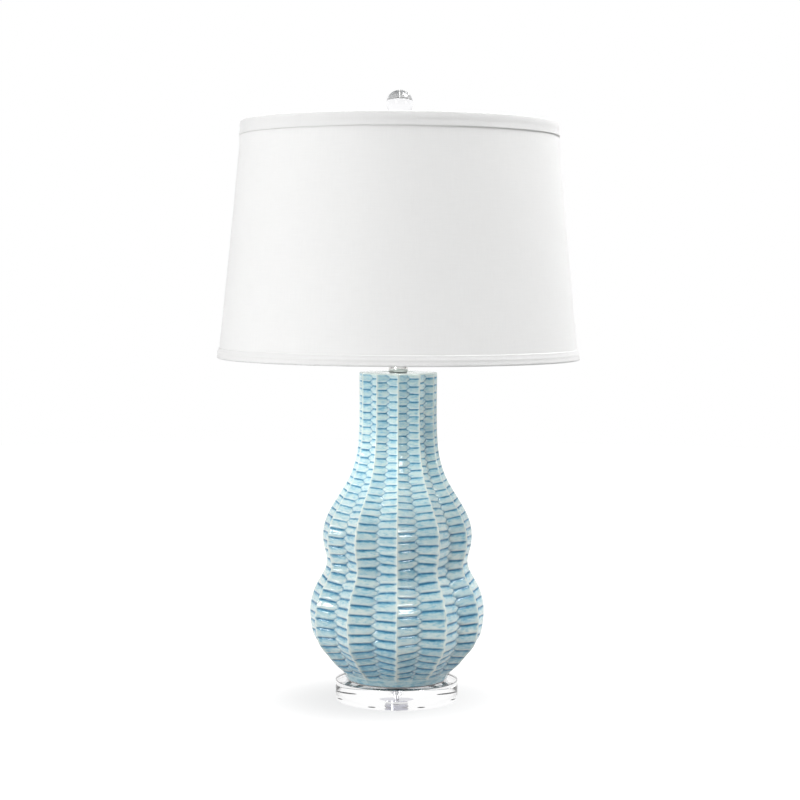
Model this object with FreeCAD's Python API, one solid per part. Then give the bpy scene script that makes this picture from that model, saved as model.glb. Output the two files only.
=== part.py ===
import FreeCAD, Part
import math
import os

# Double gourd table lamp: a ribbed, glazed ceramic body on a clear acrylic disc, with a
# nickel neck, a socket and bulb inside a harp, and a tapered drum shade under a crystal ball.
# Units are millimetres. The origin is on the table under the axis, +Z is up, and the viewer
# of the lamp's front looks along +Y.

V = FreeCAD.Vector
UP = V(0, 0, 1)
ORIGIN = V(0, 0, 0)

# Clear base
FOOT_COUNT = 6
FOOT_RADIUS = 4.2
FOOT_HEIGHT = 1.5
FOOT_CIRCLE = 52.0
BASE_RADIUS = 73.3
BASE_THICKNESS = 23.5
BASE_EDGE_BREAK = 0.7
BASE_TOP = FOOT_HEIGHT + BASE_THICKNESS

# Hardware in the clear base, from below: washer recess, bolt, coupling on the lamp pipe
RECESS_RADIUS = 14.2
RECESS_DEPTH = 2.6
WASHER_RADIUS = 13.6
WASHER_THICKNESS = 1.0
BOLT_RADIUS = 2.5
BOLT_HEAD_RADIUS = 4.6
BOLT_HEAD_HEIGHT = 1.5
COUPLING_RADIUS = 6.0
COUPLING_HEIGHT = 15.5
COUPLING_THREAD_DEPTH = 6.5
PIPE_RADIUS = 5.1
PIPE_BORE_RADIUS = 3.6
FIT = 0.1

# Ceramic body
GASKET_THICKNESS = 0.8
GASKET_RADIUS = 59.0
BODY_FOOT = BASE_TOP + GASKET_THICKNESS
BODY_HEIGHT = 368.0
BODY_TOP = BODY_FOOT + BODY_HEIGHT
RIB_COUNT = 11
# Each station: height above the foot, radius over the ribs, groove radius over rib radius.
BODY_STATIONS = [
    (0.0, 60.5, 1.00),
    (9.5, 66.2, 0.98),
    (20.0, 78.0, 0.945),
    (32.0, 88.5, 0.915),
    (46.0, 99.8, 0.905),
    (62.0, 104.7, 0.905),
    (80.0, 106.2, 0.905),
    (98.0, 103.3, 0.905),
    (114.0, 96.8, 0.905),
    (128.0, 88.8, 0.905),
    (141.0, 85.7, 0.905),
    (155.0, 88.7, 0.905),
    (173.0, 90.7, 0.905),
    (193.0, 86.2, 0.905),
    (217.0, 73.0, 0.90),
    (239.0, 60.0, 0.895),
    (261.0, 51.8, 0.89),
    (287.0, 47.9, 0.89),
    (325.0, 46.8, 0.89),
    (365.5, 47.0, 0.90),
]
BODY_LIP_INSET = 2.0

# Carving on the body: rows of tongues that grow from both sides of each rib, parted by grooves
# and locked tip to tip along the hollows. Distances run down the skin from the lip.
PITCH_NECK = 8.95
PITCH_BELLY = 11.3
PITCH_CHANGE = (150.0, 232.0)
FIRST_GROOVE = 10.5
LEVELS_PER_CELL = 4
CARVE_FADE_TOP = (0.6, 3.2)
CARVE_FADE_FOOT = (13.0, 8.5)
CARVE_SIZE_NECK = 0.66
CARVE_SIZE_CHANGE = (140.0, 240.0)
TONGUE_SUNK = 0.45
GROOVE_DEPTH = 1.4
HOLLOW_SUNK = 1.85
RIB_HALF_WIDTH = 3.4
TIP_SHARE = 0.86
TIP_REACH_NECK = 1.4
TIP_REACH_BELLY = 2.2
TIP_REACH_CHANGE = (160.0, 260.0)
GROOVE_TILT = 0.45
TILT_FADE = (3.0, 14.0)
BODY_WALL = 6.5
FOOT_RECESS_RADIUS = 52.0
FOOT_RECESS_DEPTH = 3.0
BODY_FLOOR = 10.0
BODY_DECK = 8.0
PIPE_HOLE_RADIUS = 5.6

# Cord hole at the back of the lower gourd, square to the sloping wall
CORD_HOLE_HEIGHT = 60.0
CORD_HOLE_OUT = 80.6
CORD_HOLE_TILT = 34.7
CORD_BORE_RADIUS = 3.25
GROMMET_RADIUS = 4.9
GROMMET_LENGTH = 8.2
GROMMET_FLANGE_RADIUS = 7.2
GROMMET_FLANGE_THICKNESS = 1.8
SPOT_FACE_DEPTH = 0.6

# Neck and harp saddle
NECK_RADIUS = 11.7
NECK_LENGTH = 22.0
NECK_BOTTOM = BODY_TOP + GASKET_THICKNESS
SADDLE_BOTTOM = NECK_BOTTOM + NECK_LENGTH
SADDLE_THICKNESS = 2.0
SADDLE_TOP = SADDLE_BOTTOM + SADDLE_THICKNESS
SADDLE_WIDTH = 8.0
SADDLE_REACH = 31.0
PEG_CENTRE = 23.9
PEG_THICKNESS = 2.0
PEG_WIDTH = 4.0
PEG_TOP = SADDLE_TOP + 17.0
NUT_FLATS = 14.3
NUT_THICKNESS = 3.7

# Socket
SOCKET_BOTTOM = SADDLE_TOP + NUT_THICKNESS
CAP_HEIGHT = 20.0
CAP_WALL = 0.8
SHELL_RADIUS = 16.0
SHELL_WALL = 0.6
SHELL_BOTTOM = SOCKET_BOTTOM + 17.0
SHELL_TOP = SHELL_BOTTOM + 46.0
INSULATOR_BOTTOM = SOCKET_BOTTOM + 15.0
INSULATOR_TOP = INSULATOR_BOTTOM + 17.5
INSULATOR_RADIUS = 14.2
SCREW_SHELL_RADIUS = 13.95
SCREW_SHELL_BORE = 13.55
SCREW_SHELL_TOP = INSULATOR_TOP + 27.5
KEY_HEIGHT = INSULATOR_BOTTOM + 9.0
KEY_SHAFT_RADIUS = 2.0
KEY_RUNNING_FIT = 0.06
KEY_RADIUS = 5.2
KEY_LENGTH = 15.0
KEY_START = 30.0

# Bulb
BULB_CAP_RADIUS = 13.0
BULB_RADIUS = 30.0
BULB_NECK_RADIUS = 13.2
BULB_GLASS = 1.0
BULB_CONTACT_BOTTOM = INSULATOR_TOP + 0.9
BULB_CAP_BOTTOM = BULB_CONTACT_BOTTOM + 3.6
BULB_CAP_TOP = BULB_CONTACT_BOTTOM + 28.6
BULB_CENTRE = BULB_CONTACT_BOTTOM + 79.6

# Harp
HARP_WIRE_RADIUS = 2.0
HARP_LEG = 27.2
HARP_TOP = 673.4
HARP_HALF_TOP = 31.0
HARP_BULGE = 57.0
HARP_LEG_TOP = SADDLE_TOP + 58.7
HARP_BULGE_LOW = SADDLE_TOP + 98.7
HARP_BULGE_HIGH = SADDLE_TOP + 192.7
HARP_LEG_BEND = 44.0
HARP_SIDE_BEND = 70.0
HARP_TOP_BEND = 26.0
SLEEVE_HEIGHT = 15.0
SLEEVE_WALL = 0.8
SLEEVE_HALF_WIDTH = 3.0
SLEEVE_BOTTOM = SADDLE_TOP + 0.4
SADDLE_CLEARANCE = 0.25
BOSS_RADIUS = 6.0
BOSS_HEIGHT = 3.0
SWIVEL_RADIUS = 2.1
SWIVEL_RUNNING_FIT = 0.06
STUD_FLANGE_RADIUS = 7.5
STUD_FLANGE = 2.4
STUD_RADIUS = 3.1
STUD_ABOVE_HUB = 7.5

# Shade
SHADE_BOTTOM = 410.4
SHADE_TOP = 688.4
SHADE_RADIUS_BOTTOM = 213.8
SHADE_RADIUS_TOP = 186.6
SHADE_BOW = 1.0
FABRIC = 0.6
LINER = 0.5
RING_WIRE_RADIUS = 1.6
TAPE = 0.6
TOP_TAPE_HEIGHT = 16.5
BOTTOM_TAPE_HEIGHT = 12.5
TAPE_INNER_HEIGHT = 7.0
TOP_TAPE_PROUD = 1.3
BOTTOM_TAPE_PROUD = 1.9
HUB_RADIUS = 14.0
HUB_THICKNESS = 2.0
HUB_BOTTOM = HARP_TOP + HARP_WIRE_RADIUS + 0.1 + STUD_FLANGE
HUB_TOP = HUB_BOTTOM + HUB_THICKNESS
ARM_WIRE_RADIUS = 1.5
ARM_COUNT = 3
ARM_BEND_INSET = 19.0
ARM_BEND = 18.0

# Finial
FINIAL_BORE_RADIUS = 3.2
FINIAL_BASE_HEIGHT = 16.9
BALL_RADIUS = 16.0
BALL_FLAT_BELOW_CENTRE = 14.7


def save(name, shape):
    """Write one sub-part and say what it measures."""
    box = shape.optimalBoundingBox()
    shape.exportStep("parts/" + name + ".step")
    print("%-20s solids %2d  valid %s  volume %9.0f  z %7.2f to %7.2f"
          % (name, len(shape.Solids), shape.isValid(), shape.Volume, box.ZMin, box.ZMax))


def rod(radius, low, high, x=0.0, y=0.0):
    """Upright round bar between two heights."""
    return Part.makeCylinder(radius, high - low, V(x, y, low), UP)


def tube(outer, inner, low, high):
    """Upright pipe between two heights, cut through past both ends."""
    return rod(outer, low, high).cut(rod(inner, low - 1, high + 1))


def across(radius, start, end, height, x=0.0):
    """Round bar that lies along Y, out towards the viewer, between two distances."""
    return Part.makeCylinder(radius, end - start, V(x, -start, height), V(0, -1, 0))


def turned(points):
    """Solid of revolution about Z from a closed outline of (radius, height) points."""
    corners = [V(radius, 0, height) for radius, height in points]
    outline = Part.makePolygon(corners + [corners[0]])
    return Part.Face(outline).revolve(ORIGIN, UP, 360)


def turned_edges(edges):
    """Solid of revolution about Z from edges that close an outline."""
    return Part.Face(Part.Wire(edges)).revolve(ORIGIN, UP, 360)


def line(start, end):
    """Edge between two (radius, height) points in the XZ plane."""
    return Part.makeLine(V(start[0], 0, start[1]), V(end[0], 0, end[1]))


def arc(start, middle, end):
    """Arc through three (radius, height) points in the XZ plane."""
    return Part.Arc(*[V(p[0], 0, p[1]) for p in (start, middle, end)]).toShape()


def curve(points):
    """Smooth curve through points."""
    spline = Part.BSplineCurve()
    spline.interpolate(points)
    return spline.toShape()


def profile(points):
    """Smooth curve through (radius, height) points in the XZ plane."""
    return curve([V(radius, 0, height) for radius, height in points])


def hexagon(flats, low, high):
    """Upright hexagonal prism."""
    reach = flats / math.sqrt(3.0)
    corners = [V(reach * math.cos(math.radians(60 * k)), reach * math.sin(math.radians(60 * k)), low)
               for k in range(7)]
    return Part.Face(Part.makePolygon(corners)).extrude(V(0, 0, high - low))


def rounded_path(points, radii):
    """Straight runs through points in one plane, joined by tangent arcs of the given radii."""
    edges = []
    here = points[0]
    for before, corner, after, radius in zip(points, points[1:], points[2:], radii):
        back = (before - corner).normalize()
        ahead = (after - corner).normalize()
        half = back.getAngle(ahead) / 2.0
        reach = radius / math.tan(half)
        first = corner + back * reach
        last = corner + ahead * reach
        middle = corner + (back + ahead).normalize() * (radius / math.sin(half) - radius)
        edges.append(Part.makeLine(here, first))
        edges.append(Part.Arc(first, middle, last).toShape())
        here = last
    edges.append(Part.makeLine(here, points[-1]))
    return Part.Wire(edges)


def wire_along(path, radius):
    """Round wire swept along a path that starts in the plane of its first edge."""
    start = path.OrderedEdges[0]
    heading = start.tangentAt(start.FirstParameter)
    section = Part.Wire(Part.makeCircle(radius, start.valueAt(start.FirstParameter), heading))
    return path.makePipeShell([section], True, False)


def slot_prism(near, far, half_width, low, high):
    """Upright prism with round ends, between two places along X."""
    a = min(near, far) + half_width
    b = max(near, far) - half_width
    outline = [
        Part.makeLine(V(a, -half_width, low), V(b, -half_width, low)),
        Part.Arc(V(b, -half_width, low), V(b + half_width, 0, low), V(b, half_width, low)).toShape(),
        Part.makeLine(V(b, half_width, low), V(a, half_width, low)),
        Part.Arc(V(a, half_width, low), V(a - half_width, 0, low), V(a, -half_width, low)).toShape(),
    ]
    return Part.Face(Part.Wire(outline)).extrude(V(0, 0, high - low))


# Clear base and the hardware that shows through it

def base_feet():
    """Six small bumpers under the clear disc."""
    feet = []
    for k in range(FOOT_COUNT):
        angle = math.radians(30 + k * 360.0 / FOOT_COUNT)
        x = FOOT_CIRCLE * math.sin(angle)
        y = -FOOT_CIRCLE * math.cos(angle)
        feet.append(rod(FOOT_RADIUS, 0, FOOT_HEIGHT, x, y))
    return Part.makeCompound(feet)


def acrylic_base():
    """Clear disc with a washer recess below, a bolt hole and a blind hole for the coupling."""
    b = BASE_EDGE_BREAK
    disc = turned([
        (0, FOOT_HEIGHT), (BASE_RADIUS - b, FOOT_HEIGHT), (BASE_RADIUS, FOOT_HEIGHT + b),
        (BASE_RADIUS, BASE_TOP - b), (BASE_RADIUS - b, BASE_TOP), (0, BASE_TOP)])
    recess = rod(RECESS_RADIUS, FOOT_HEIGHT - 1, FOOT_HEIGHT + RECESS_DEPTH)
    bolt_hole = rod(BOLT_RADIUS + 0.3, FOOT_HEIGHT - 1, BASE_TOP + 1)
    coupling_hole = rod(COUPLING_RADIUS + FIT, BASE_TOP - COUPLING_HEIGHT, BASE_TOP + 1)
    return disc.cut(recess.fuse([bolt_hole, coupling_hole]))


def base_washer():
    """Wide washer against the roof of the recess."""
    top = FOOT_HEIGHT + RECESS_DEPTH
    return tube(WASHER_RADIUS, BOLT_RADIUS + 0.2, top - WASHER_THICKNESS, top)


def base_bolt():
    """Bolt with a low round head, a cross slot and a shank that ends in the coupling."""
    head_top = FOOT_HEIGHT + RECESS_DEPTH - WASHER_THICKNESS
    head_bottom = head_top - BOLT_HEAD_HEIGHT
    head = turned([
        (0, head_bottom), (BOLT_HEAD_RADIUS - 1.2, head_bottom),
        (BOLT_HEAD_RADIUS, head_bottom + 1.2), (BOLT_HEAD_RADIUS, head_top), (0, head_top)])
    shank = rod(BOLT_RADIUS, head_top, BASE_TOP - COUPLING_HEIGHT + COUPLING_THREAD_DEPTH)
    slot = Part.makeBox(5.0, 1.0, 1.2, V(-2.5, -0.5, head_bottom - 0.2))
    cross = Part.makeBox(1.0, 5.0, 1.2, V(-0.5, -2.5, head_bottom - 0.2))
    return head.fuse(shank).cut(slot.fuse(cross))


def base_coupling():
    """Round coupling: the bolt comes in from below and the lamp pipe from above."""
    low = BASE_TOP - COUPLING_HEIGHT
    body = rod(COUPLING_RADIUS, low, BASE_TOP)
    bolt_thread = rod(BOLT_RADIUS + 0.02, low - 1, BASE_TOP)
    pipe_thread = rod(PIPE_RADIUS + 0.02, low + COUPLING_THREAD_DEPTH, BASE_TOP + 1)
    return body.cut(bolt_thread.fuse(pipe_thread))


def lamp_pipe():
    """Hollow threaded pipe through the body, with a side hole where the cord comes in."""
    low = BASE_TOP - COUPLING_HEIGHT + COUPLING_THREAD_DEPTH
    pipe = tube(PIPE_RADIUS, PIPE_BORE_RADIUS, low, SOCKET_BOTTOM + 7.0)
    cord_hole = Part.makeCylinder(3.0, 20, V(0, 0, BODY_FOOT + 45.0), V(0, 1, 0))
    return pipe.cut(cord_hole)


def base_gasket():
    """Thin clear ring between the clear disc and the ceramic foot."""
    return tube(GASKET_RADIUS, FOOT_RECESS_RADIUS + 1.0, BASE_TOP, BODY_FOOT)


# Ceramic body

def meridian(groove):
    """Points up the crest of a rib, or up the bottom of a groove, as (radius, height)."""
    return [(radius * (ratio if groove else 1.0), BODY_FOOT + height)
            for height, radius, ratio in BODY_STATIONS]


def at_angle(points, angle):
    """Turn (radius, height) points round the axis; zero faces the viewer."""
    return [V(radius * math.sin(angle), -radius * math.cos(angle), height)
            for radius, height in points]


def smooth_step(low, high, value):
    """0 below low, 1 above high and a smooth rise between."""
    u = min(1.0, max(0.0, (value - low) / (high - low)))
    return u * u * (3.0 - 2.0 * u)


def radius_by_height(groove):
    """Smooth curve of a radius, over the ribs or in the hollows, whose parameter is the height."""
    points = [V(height, radius * (ratio if groove else 1.0), 0) for height, radius, ratio in BODY_STATIONS]
    spline = Part.BSplineCurve()
    spline.interpolate(Points=points, Parameters=[point.x for point in points])
    return spline


def pitch_at(down):
    """Height of one carved cell, measured along the skin."""
    return PITCH_NECK + (PITCH_BELLY - PITCH_NECK) * smooth_step(*PITCH_CHANGE, down)


def skin_levels(crest):
    """Levels down the skin, some to each cell, as (height, distance down, cells from the first groove)."""
    step = 0.05
    height = BODY_STATIONS[-1][0]
    down = BODY_HEIGHT - height
    cells = (down - FIRST_GROOVE) / PITCH_NECK
    levels = [(height, down, cells)]
    while height > step:
        across, rise = crest.getD1(height)[1][:2]
        before = math.floor(LEVELS_PER_CELL * cells)
        length = step * math.hypot(1.0, rise / across)
        height -= step
        down += length
        cells += length / pitch_at(down)
        if math.floor(LEVELS_PER_CELL * cells) > before:
            levels.append((height, down, cells))
    if levels[-1][0] < 0.5:
        levels.pop()
    levels.append((0.0, down, cells))
    return levels


def skin_rail(levels, crest, hollow, fold, share, side):
    """Curve down the skin at one share of the way from a rib to the hollow on its left or right."""
    middle = fold * 2.0 * math.pi / RIB_COUNT
    half_fold = math.pi / RIB_COUNT
    full = levels[-1][1]
    points = []
    for height, down, cells in levels:
        crest_radius = crest.value(height).y
        hollow_radius = hollow.value(height).y
        across, rise = crest.getD1(height)[1][:2]
        slope = rise / across
        plain_foot = smooth_step(full - CARVE_FADE_FOOT[0], full - CARVE_FADE_FOOT[1], down)
        carve = smooth_step(*CARVE_FADE_TOP, down) * (1.0 - plain_foot)
        size = CARVE_SIZE_NECK + (1.0 - CARVE_SIZE_NECK) * smooth_step(*CARVE_SIZE_CHANGE, down)
        rib_point, = at_angle([(crest_radius, height)], middle)
        hollow_point, = at_angle([(hollow_radius, height)], middle + side * half_fold)
        chord = hollow_point - rib_point
        sideways = V(chord).normalize()
        part_way = min(share, RIB_HALF_WIDTH * size / chord.Length) if 0 < share < TIP_SHARE else share
        # The border between the two rows of tips swings from side to side of the hollow
        swing = TIP_REACH_NECK + (TIP_REACH_BELLY - TIP_REACH_NECK) * smooth_step(*TIP_REACH_CHANGE, down)
        swing *= -math.cos(2.0 * math.pi * cells) * carve * part_way ** 2
        point = rib_point + chord * part_way + sideways * swing * side
        # Grooves of the right-hand flank lie at whole cells, those of the left-hand one between
        wave = (0.5 + 0.5 * side * math.cos(2.0 * math.pi * cells)) ** 2
        if part_way == 0.0:
            sunk = 0.0
        elif part_way == 1.0:
            sunk = HOLLOW_SUNK
        else:
            sunk = TONGUE_SUNK + GROOVE_DEPTH * wave
        azimuth = math.atan2(point.x, -point.y)
        inward = V(-math.sin(azimuth), math.cos(azimuth), slope).normalize()
        point += inward * sunk * size * carve
        tilt = GROOVE_TILT * (part_way - 0.5) * (crest_radius - hollow_radius) * slope
        point.z += BODY_FOOT + tilt * carve * smooth_step(*TILT_FADE, down)
        if down == levels[0][1] or down == full:
            point.z = BODY_FOOT + height
        points.append(point)
    spline = Part.BSplineCurve()
    spline.interpolate(Points=points, Parameters=[level[1] for level in levels])
    return spline.toShape()


def body_skin():
    """Outer solid: each flank of a fold is ruled from the rib to the tongues and on to the hollow."""
    crest = radius_by_height(groove=False)
    hollow = radius_by_height(groove=True)
    levels = skin_levels(crest)
    rails = []
    for k in range(RIB_COUNT):
        for share, side in ((0.0, 1), (0.5, 1), (TIP_SHARE, 1), (1.0, 1), (TIP_SHARE, -1), (0.5, -1)):
            fold = k if side > 0 else k + 1
            rails.append(skin_rail(levels, crest, hollow, fold, share, side))
    lips = []
    for rail in rails:
        rim = rail.valueAt(rail.FirstParameter)
        inset = 1.0 - BODY_LIP_INSET / math.hypot(rim.x, rim.y)
        lips.append(Part.makeLine(rim, V(rim.x * inset, rim.y * inset, BODY_TOP)))
    faces = []
    for k in range(len(rails)):
        nxt = (k + 1) % len(rails)
        faces.append(Part.makeRuledSurface(rails[k], rails[nxt]))
        faces.append(Part.makeRuledSurface(lips[k], lips[nxt]))
    top = [lip.valueAt(lip.LastParameter) for lip in lips]
    foot = [rail.valueAt(rail.LastParameter) for rail in rails]
    for corners in (top, foot):
        faces.append(Part.Face(Part.makePolygon(corners + [corners[0]])))
    shell = Part.makeShell(faces)
    shell.sewShape()
    solid = Part.makeSolid(Part.Shell(shell.Faces))
    if solid.Volume < 0:
        solid.reverse()
    return solid


def body_cavity():
    """Inside of the body: it follows the grooves, one wall thickness in."""
    low = BODY_FOOT + BODY_FLOOR
    high = BODY_TOP - BODY_DECK
    inner = [(radius - BODY_WALL, height) for radius, height in meridian(groove=True)
             if low < height < high]
    first = (inner[0][0] - 4.0, low)
    last = (inner[-1][0], high)
    side = profile([first] + inner + [last])
    return turned_edges([line((0, low), first), side, line(last, (0, high)), line((0, high), (0, low))])


def cord_hole_frame():
    """Point on the rear groove and the outward direction of the cord hole."""
    tilt = math.radians(CORD_HOLE_TILT)
    return V(0, CORD_HOLE_OUT, CORD_HOLE_HEIGHT), V(0, math.cos(tilt), -math.sin(tilt))


def ceramic_body():
    """Hollow ribbed double gourd with a foot recess, pipe holes and the cord hole."""
    point, out = cord_hole_frame()
    seat = point - out * SPOT_FACE_DEPTH
    spot_face = Part.makeCylinder(GROMMET_FLANGE_RADIUS + 0.3, 12, seat, out)
    cord_hole = Part.makeCylinder(GROMMET_RADIUS + 0.02, 24, seat - out * 12, out)
    cuts = [
        rod(FOOT_RECESS_RADIUS, BODY_FOOT - 1, BODY_FOOT + FOOT_RECESS_DEPTH),
        rod(PIPE_HOLE_RADIUS, BODY_FOOT - 1, BODY_TOP + 1),
        spot_face,
        cord_hole,
    ]
    return body_skin().cut(body_cavity()).cut(cuts[0].fuse(cuts[1:]))


def cord_grommet():
    """Flanged bush that lines the cord hole."""
    point, out = cord_hole_frame()
    seat = point - out * SPOT_FACE_DEPTH
    barrel = Part.makeCylinder(GROMMET_RADIUS, GROMMET_LENGTH, seat - out * GROMMET_LENGTH, out)
    flange = Part.makeCylinder(GROMMET_FLANGE_RADIUS, GROMMET_FLANGE_THICKNESS, seat, out)
    bore = Part.makeCylinder(CORD_BORE_RADIUS, 30, seat - out * 15, out)
    return barrel.fuse(flange).cut(bore).removeSplitter()


# Neck, saddle and nut

def top_gasket():
    """Thin ring between the ceramic and the metal neck."""
    return tube(NECK_RADIUS - 1.2, PIPE_HOLE_RADIUS, BODY_TOP, NECK_BOTTOM)


def neck():
    """Bright metal tube with broken edges and a hole for the pipe."""
    low = NECK_BOTTOM
    high = SADDLE_BOTTOM
    r = NECK_RADIUS
    hole = PIPE_RADIUS + FIT
    return turned([
        (hole, low), (r - 0.5, low), (r, low + 0.5), (r, high - 0.5), (r - 0.5, high), (hole, high)])


def harp_saddle():
    """Flat strap on the neck, with two upright pegs that hold the harp's legs."""
    strap = slot_prism(-SADDLE_REACH, SADDLE_REACH, SADDLE_WIDTH / 2, SADDLE_BOTTOM, SADDLE_TOP)
    body = strap.fuse(rod(NECK_RADIUS + 0.6, SADDLE_BOTTOM, SADDLE_TOP))
    for side in (-1, 1):
        corner = V(side * PEG_CENTRE - PEG_THICKNESS / 2, -PEG_WIDTH / 2, SADDLE_TOP - 0.5)
        body = body.fuse(Part.makeBox(PEG_THICKNESS, PEG_WIDTH, PEG_TOP - SADDLE_TOP + 0.5, corner))
    hole = rod(PIPE_RADIUS + FIT, SADDLE_BOTTOM - 1, SADDLE_TOP + 1)
    return body.cut(hole).removeSplitter()


def pipe_nut():
    """Hexagonal nut that clamps the whole stack on the pipe."""
    nut = hexagon(NUT_FLATS, SADDLE_TOP, SOCKET_BOTTOM)
    return nut.cut(rod(PIPE_RADIUS + 0.02, SADDLE_TOP - 1, SOCKET_BOTTOM + 1))


# Socket

def socket_cap():
    """Cup that screws on the pipe, with a set screw hole in its hub."""
    low = SOCKET_BOTTOM
    high = low + CAP_HEIGHT
    w = CAP_WALL
    outer = SHELL_RADIUS + FIT + w
    bore = PIPE_RADIUS + 0.02
    cup = turned([
        (bore, low), (8.0, low), (8.0, low + 4.5), (12.3, low + 7.6), (outer, low + 15.2),
        (outer, high), (outer - w, high), (outer - w, low + 16.0), (11.6, low + 8.6),
        (7.2, low + 6.0), (bore, low + 6.0)])
    return cup.cut(across(1.55, 4.0, 10.0, low + 2.6))


def socket_set_screw():
    """Small screw through the cap's hub that locks it on the pipe."""
    return across(1.5, PIPE_RADIUS + 0.1, 9.4, SOCKET_BOTTOM + 2.6).cut(
        Part.makeBox(3.4, 0.6, 0.6, V(-1.7, -9.5, SOCKET_BOTTOM + 2.3)))


def socket_shell():
    """Bright outer sleeve of the socket with a bead at its mouth and a hole for the key."""
    r = SHELL_RADIUS
    w = SHELL_WALL
    sleeve = turned([
        (r - w, SHELL_BOTTOM), (r, SHELL_BOTTOM), (r, SHELL_TOP - 6.0), (r + 1.0, SHELL_TOP - 4.5),
        (r + 1.0, SHELL_TOP), (r + 1.0 - w, SHELL_TOP), (r + 1.0 - w, SHELL_TOP - 4.2),
        (r - w, SHELL_TOP - 5.6)])
    return sleeve.cut(across(3.4, 10.0, 20.0, KEY_HEIGHT))


def socket_liner():
    """Fibre sleeve between the live parts and the bright sleeve."""
    outer = SHELL_RADIUS - SHELL_WALL - FIT
    sleeve = tube(outer, outer - 0.8, SHELL_BOTTOM + 0.5, SHELL_TOP - 6.2)
    return sleeve.cut(across(3.4, 10.0, 20.0, KEY_HEIGHT))


def socket_insulator():
    """Moulded switch block with side pockets for the terminals and a hole for the key's shaft."""
    block = rod(INSULATOR_RADIUS, INSULATOR_BOTTOM, INSULATOR_TOP)
    holes = [across(KEY_SHAFT_RADIUS + KEY_RUNNING_FIT, 4.0, 20.0, KEY_HEIGHT)]
    for side in (-1, 1):
        along = V(side, 0, 0)
        place = V(side * (INSULATOR_RADIUS - 3.0), 0, KEY_HEIGHT)
        holes.append(Part.makeCylinder(4.2, 6, place, along))
        holes.append(Part.makeCylinder(1.6, 6, place - along * 4, along))
    return block.cut(holes[0].fuse(holes[1:]))


def terminal_screws():
    """Two terminal screws in the side pockets of the switch block."""
    screws = []
    for side in (-1, 1):
        along = V(side, 0, 0)
        place = V(side * (INSULATOR_RADIUS - 2.9), 0, KEY_HEIGHT)
        head = Part.makeCylinder(3.2, 1.6, place, along)
        shank = Part.makeCylinder(1.5, 3.6, place - along * 3.5, along)
        slot = Part.makeBox(0.8, 7.0, 0.8, V(side * (INSULATOR_RADIUS - 1.3) - 0.4, -3.5, KEY_HEIGHT - 0.4))
        screws.append(head.fuse(shank).cut(slot).removeSplitter())
    return Part.makeCompound(screws)


def socket_screw_shell():
    """Threaded brass sleeve that the bulb screws into, with its rolled threads."""
    low = INSULATOR_TOP
    high = SCREW_SHELL_TOP
    return tube(SCREW_SHELL_RADIUS, SCREW_SHELL_BORE, low, high)


def socket_contact():
    """Centre contact under the bulb."""
    return rod(4.5, INSULATOR_TOP, BULB_CONTACT_BOTTOM)


def switch_shaft():
    """Shaft of the turn switch."""
    return across(KEY_SHAFT_RADIUS, 6.0, KEY_START + 8.0, KEY_HEIGHT)


def switch_key():
    """Ribbed turn knob with a blind hole for its shaft."""
    start = KEY_START
    end = KEY_START + KEY_LENGTH
    knob = across(KEY_RADIUS, start, end, KEY_HEIGHT)
    grooves = []
    for k in range(12):
        angle = math.radians(k * 30.0)
        x = (KEY_RADIUS + 0.35) * math.cos(angle)
        z = KEY_HEIGHT + (KEY_RADIUS + 0.35) * math.sin(angle)
        grooves.append(across(0.9, start + 3.0, end + 1.0, z, x))
    knob = knob.cut(grooves[0].fuse(grooves[1:]))
    return knob.cut(across(KEY_SHAFT_RADIUS, start - 1.0, start + 8.0, KEY_HEIGHT))


# Bulb

def bulb_contact():
    """Tip contact and the black glass that insulates it from the cap."""
    low = BULB_CONTACT_BOTTOM
    return turned([
        (0, low), (3.4, low), (4.6, low + 1.0), (4.6, low + 1.6), (9.4, BULB_CAP_BOTTOM),
        (0, BULB_CAP_BOTTOM)])


def bulb_cap():
    """Threaded metal cap, open at the top where the glass is cemented in."""
    low = BULB_CAP_BOTTOM
    r = BULB_CAP_RADIUS
    return turned([
        (0, low), (9.4, low), (r, low + 2.4), (r, BULB_CAP_TOP), (r - 0.5, BULB_CAP_TOP),
        (r - 0.5, low + 3.0), (9.0, low + 0.8), (0, low + 0.8)])


def bulb_outline(shrink):
    """Neck corner, tangent point, side and top of the glass, one thickness in if asked."""
    r = BULB_RADIUS - shrink
    neck_r = BULB_NECK_RADIUS - shrink
    neck_top = BULB_CAP_TOP + 6.0
    drop = BULB_CENTRE - neck_top
    reach = math.hypot(neck_r, drop)
    bearing = math.atan2(neck_r, drop) + math.acos(r / reach)
    tangent = (r * math.sin(bearing), BULB_CENTRE - r * math.cos(bearing))
    middle_bearing = (bearing + math.pi) / 2.0
    middle = (r * math.sin(middle_bearing), BULB_CENTRE - r * math.cos(middle_bearing))
    return (neck_r, neck_top), tangent, middle, (0, BULB_CENTRE + r)


def bulb_globe():
    """Frosted glass envelope, open at the neck."""
    low = BULB_CAP_TOP + 0.1
    corner, tangent, middle, top = bulb_outline(0.0)
    corner_in, tangent_in, middle_in, top_in = bulb_outline(BULB_GLASS)
    return turned_edges([
        line((BULB_NECK_RADIUS, low), corner), line(corner, tangent), arc(tangent, middle, top),
        line(top, top_in), arc(top_in, middle_in, tangent_in), line(tangent_in, corner_in),
        line(corner_in, (BULB_NECK_RADIUS - BULB_GLASS, low)),
        line((BULB_NECK_RADIUS - BULB_GLASS, low), (BULB_NECK_RADIUS, low))])


# Harp

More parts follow.
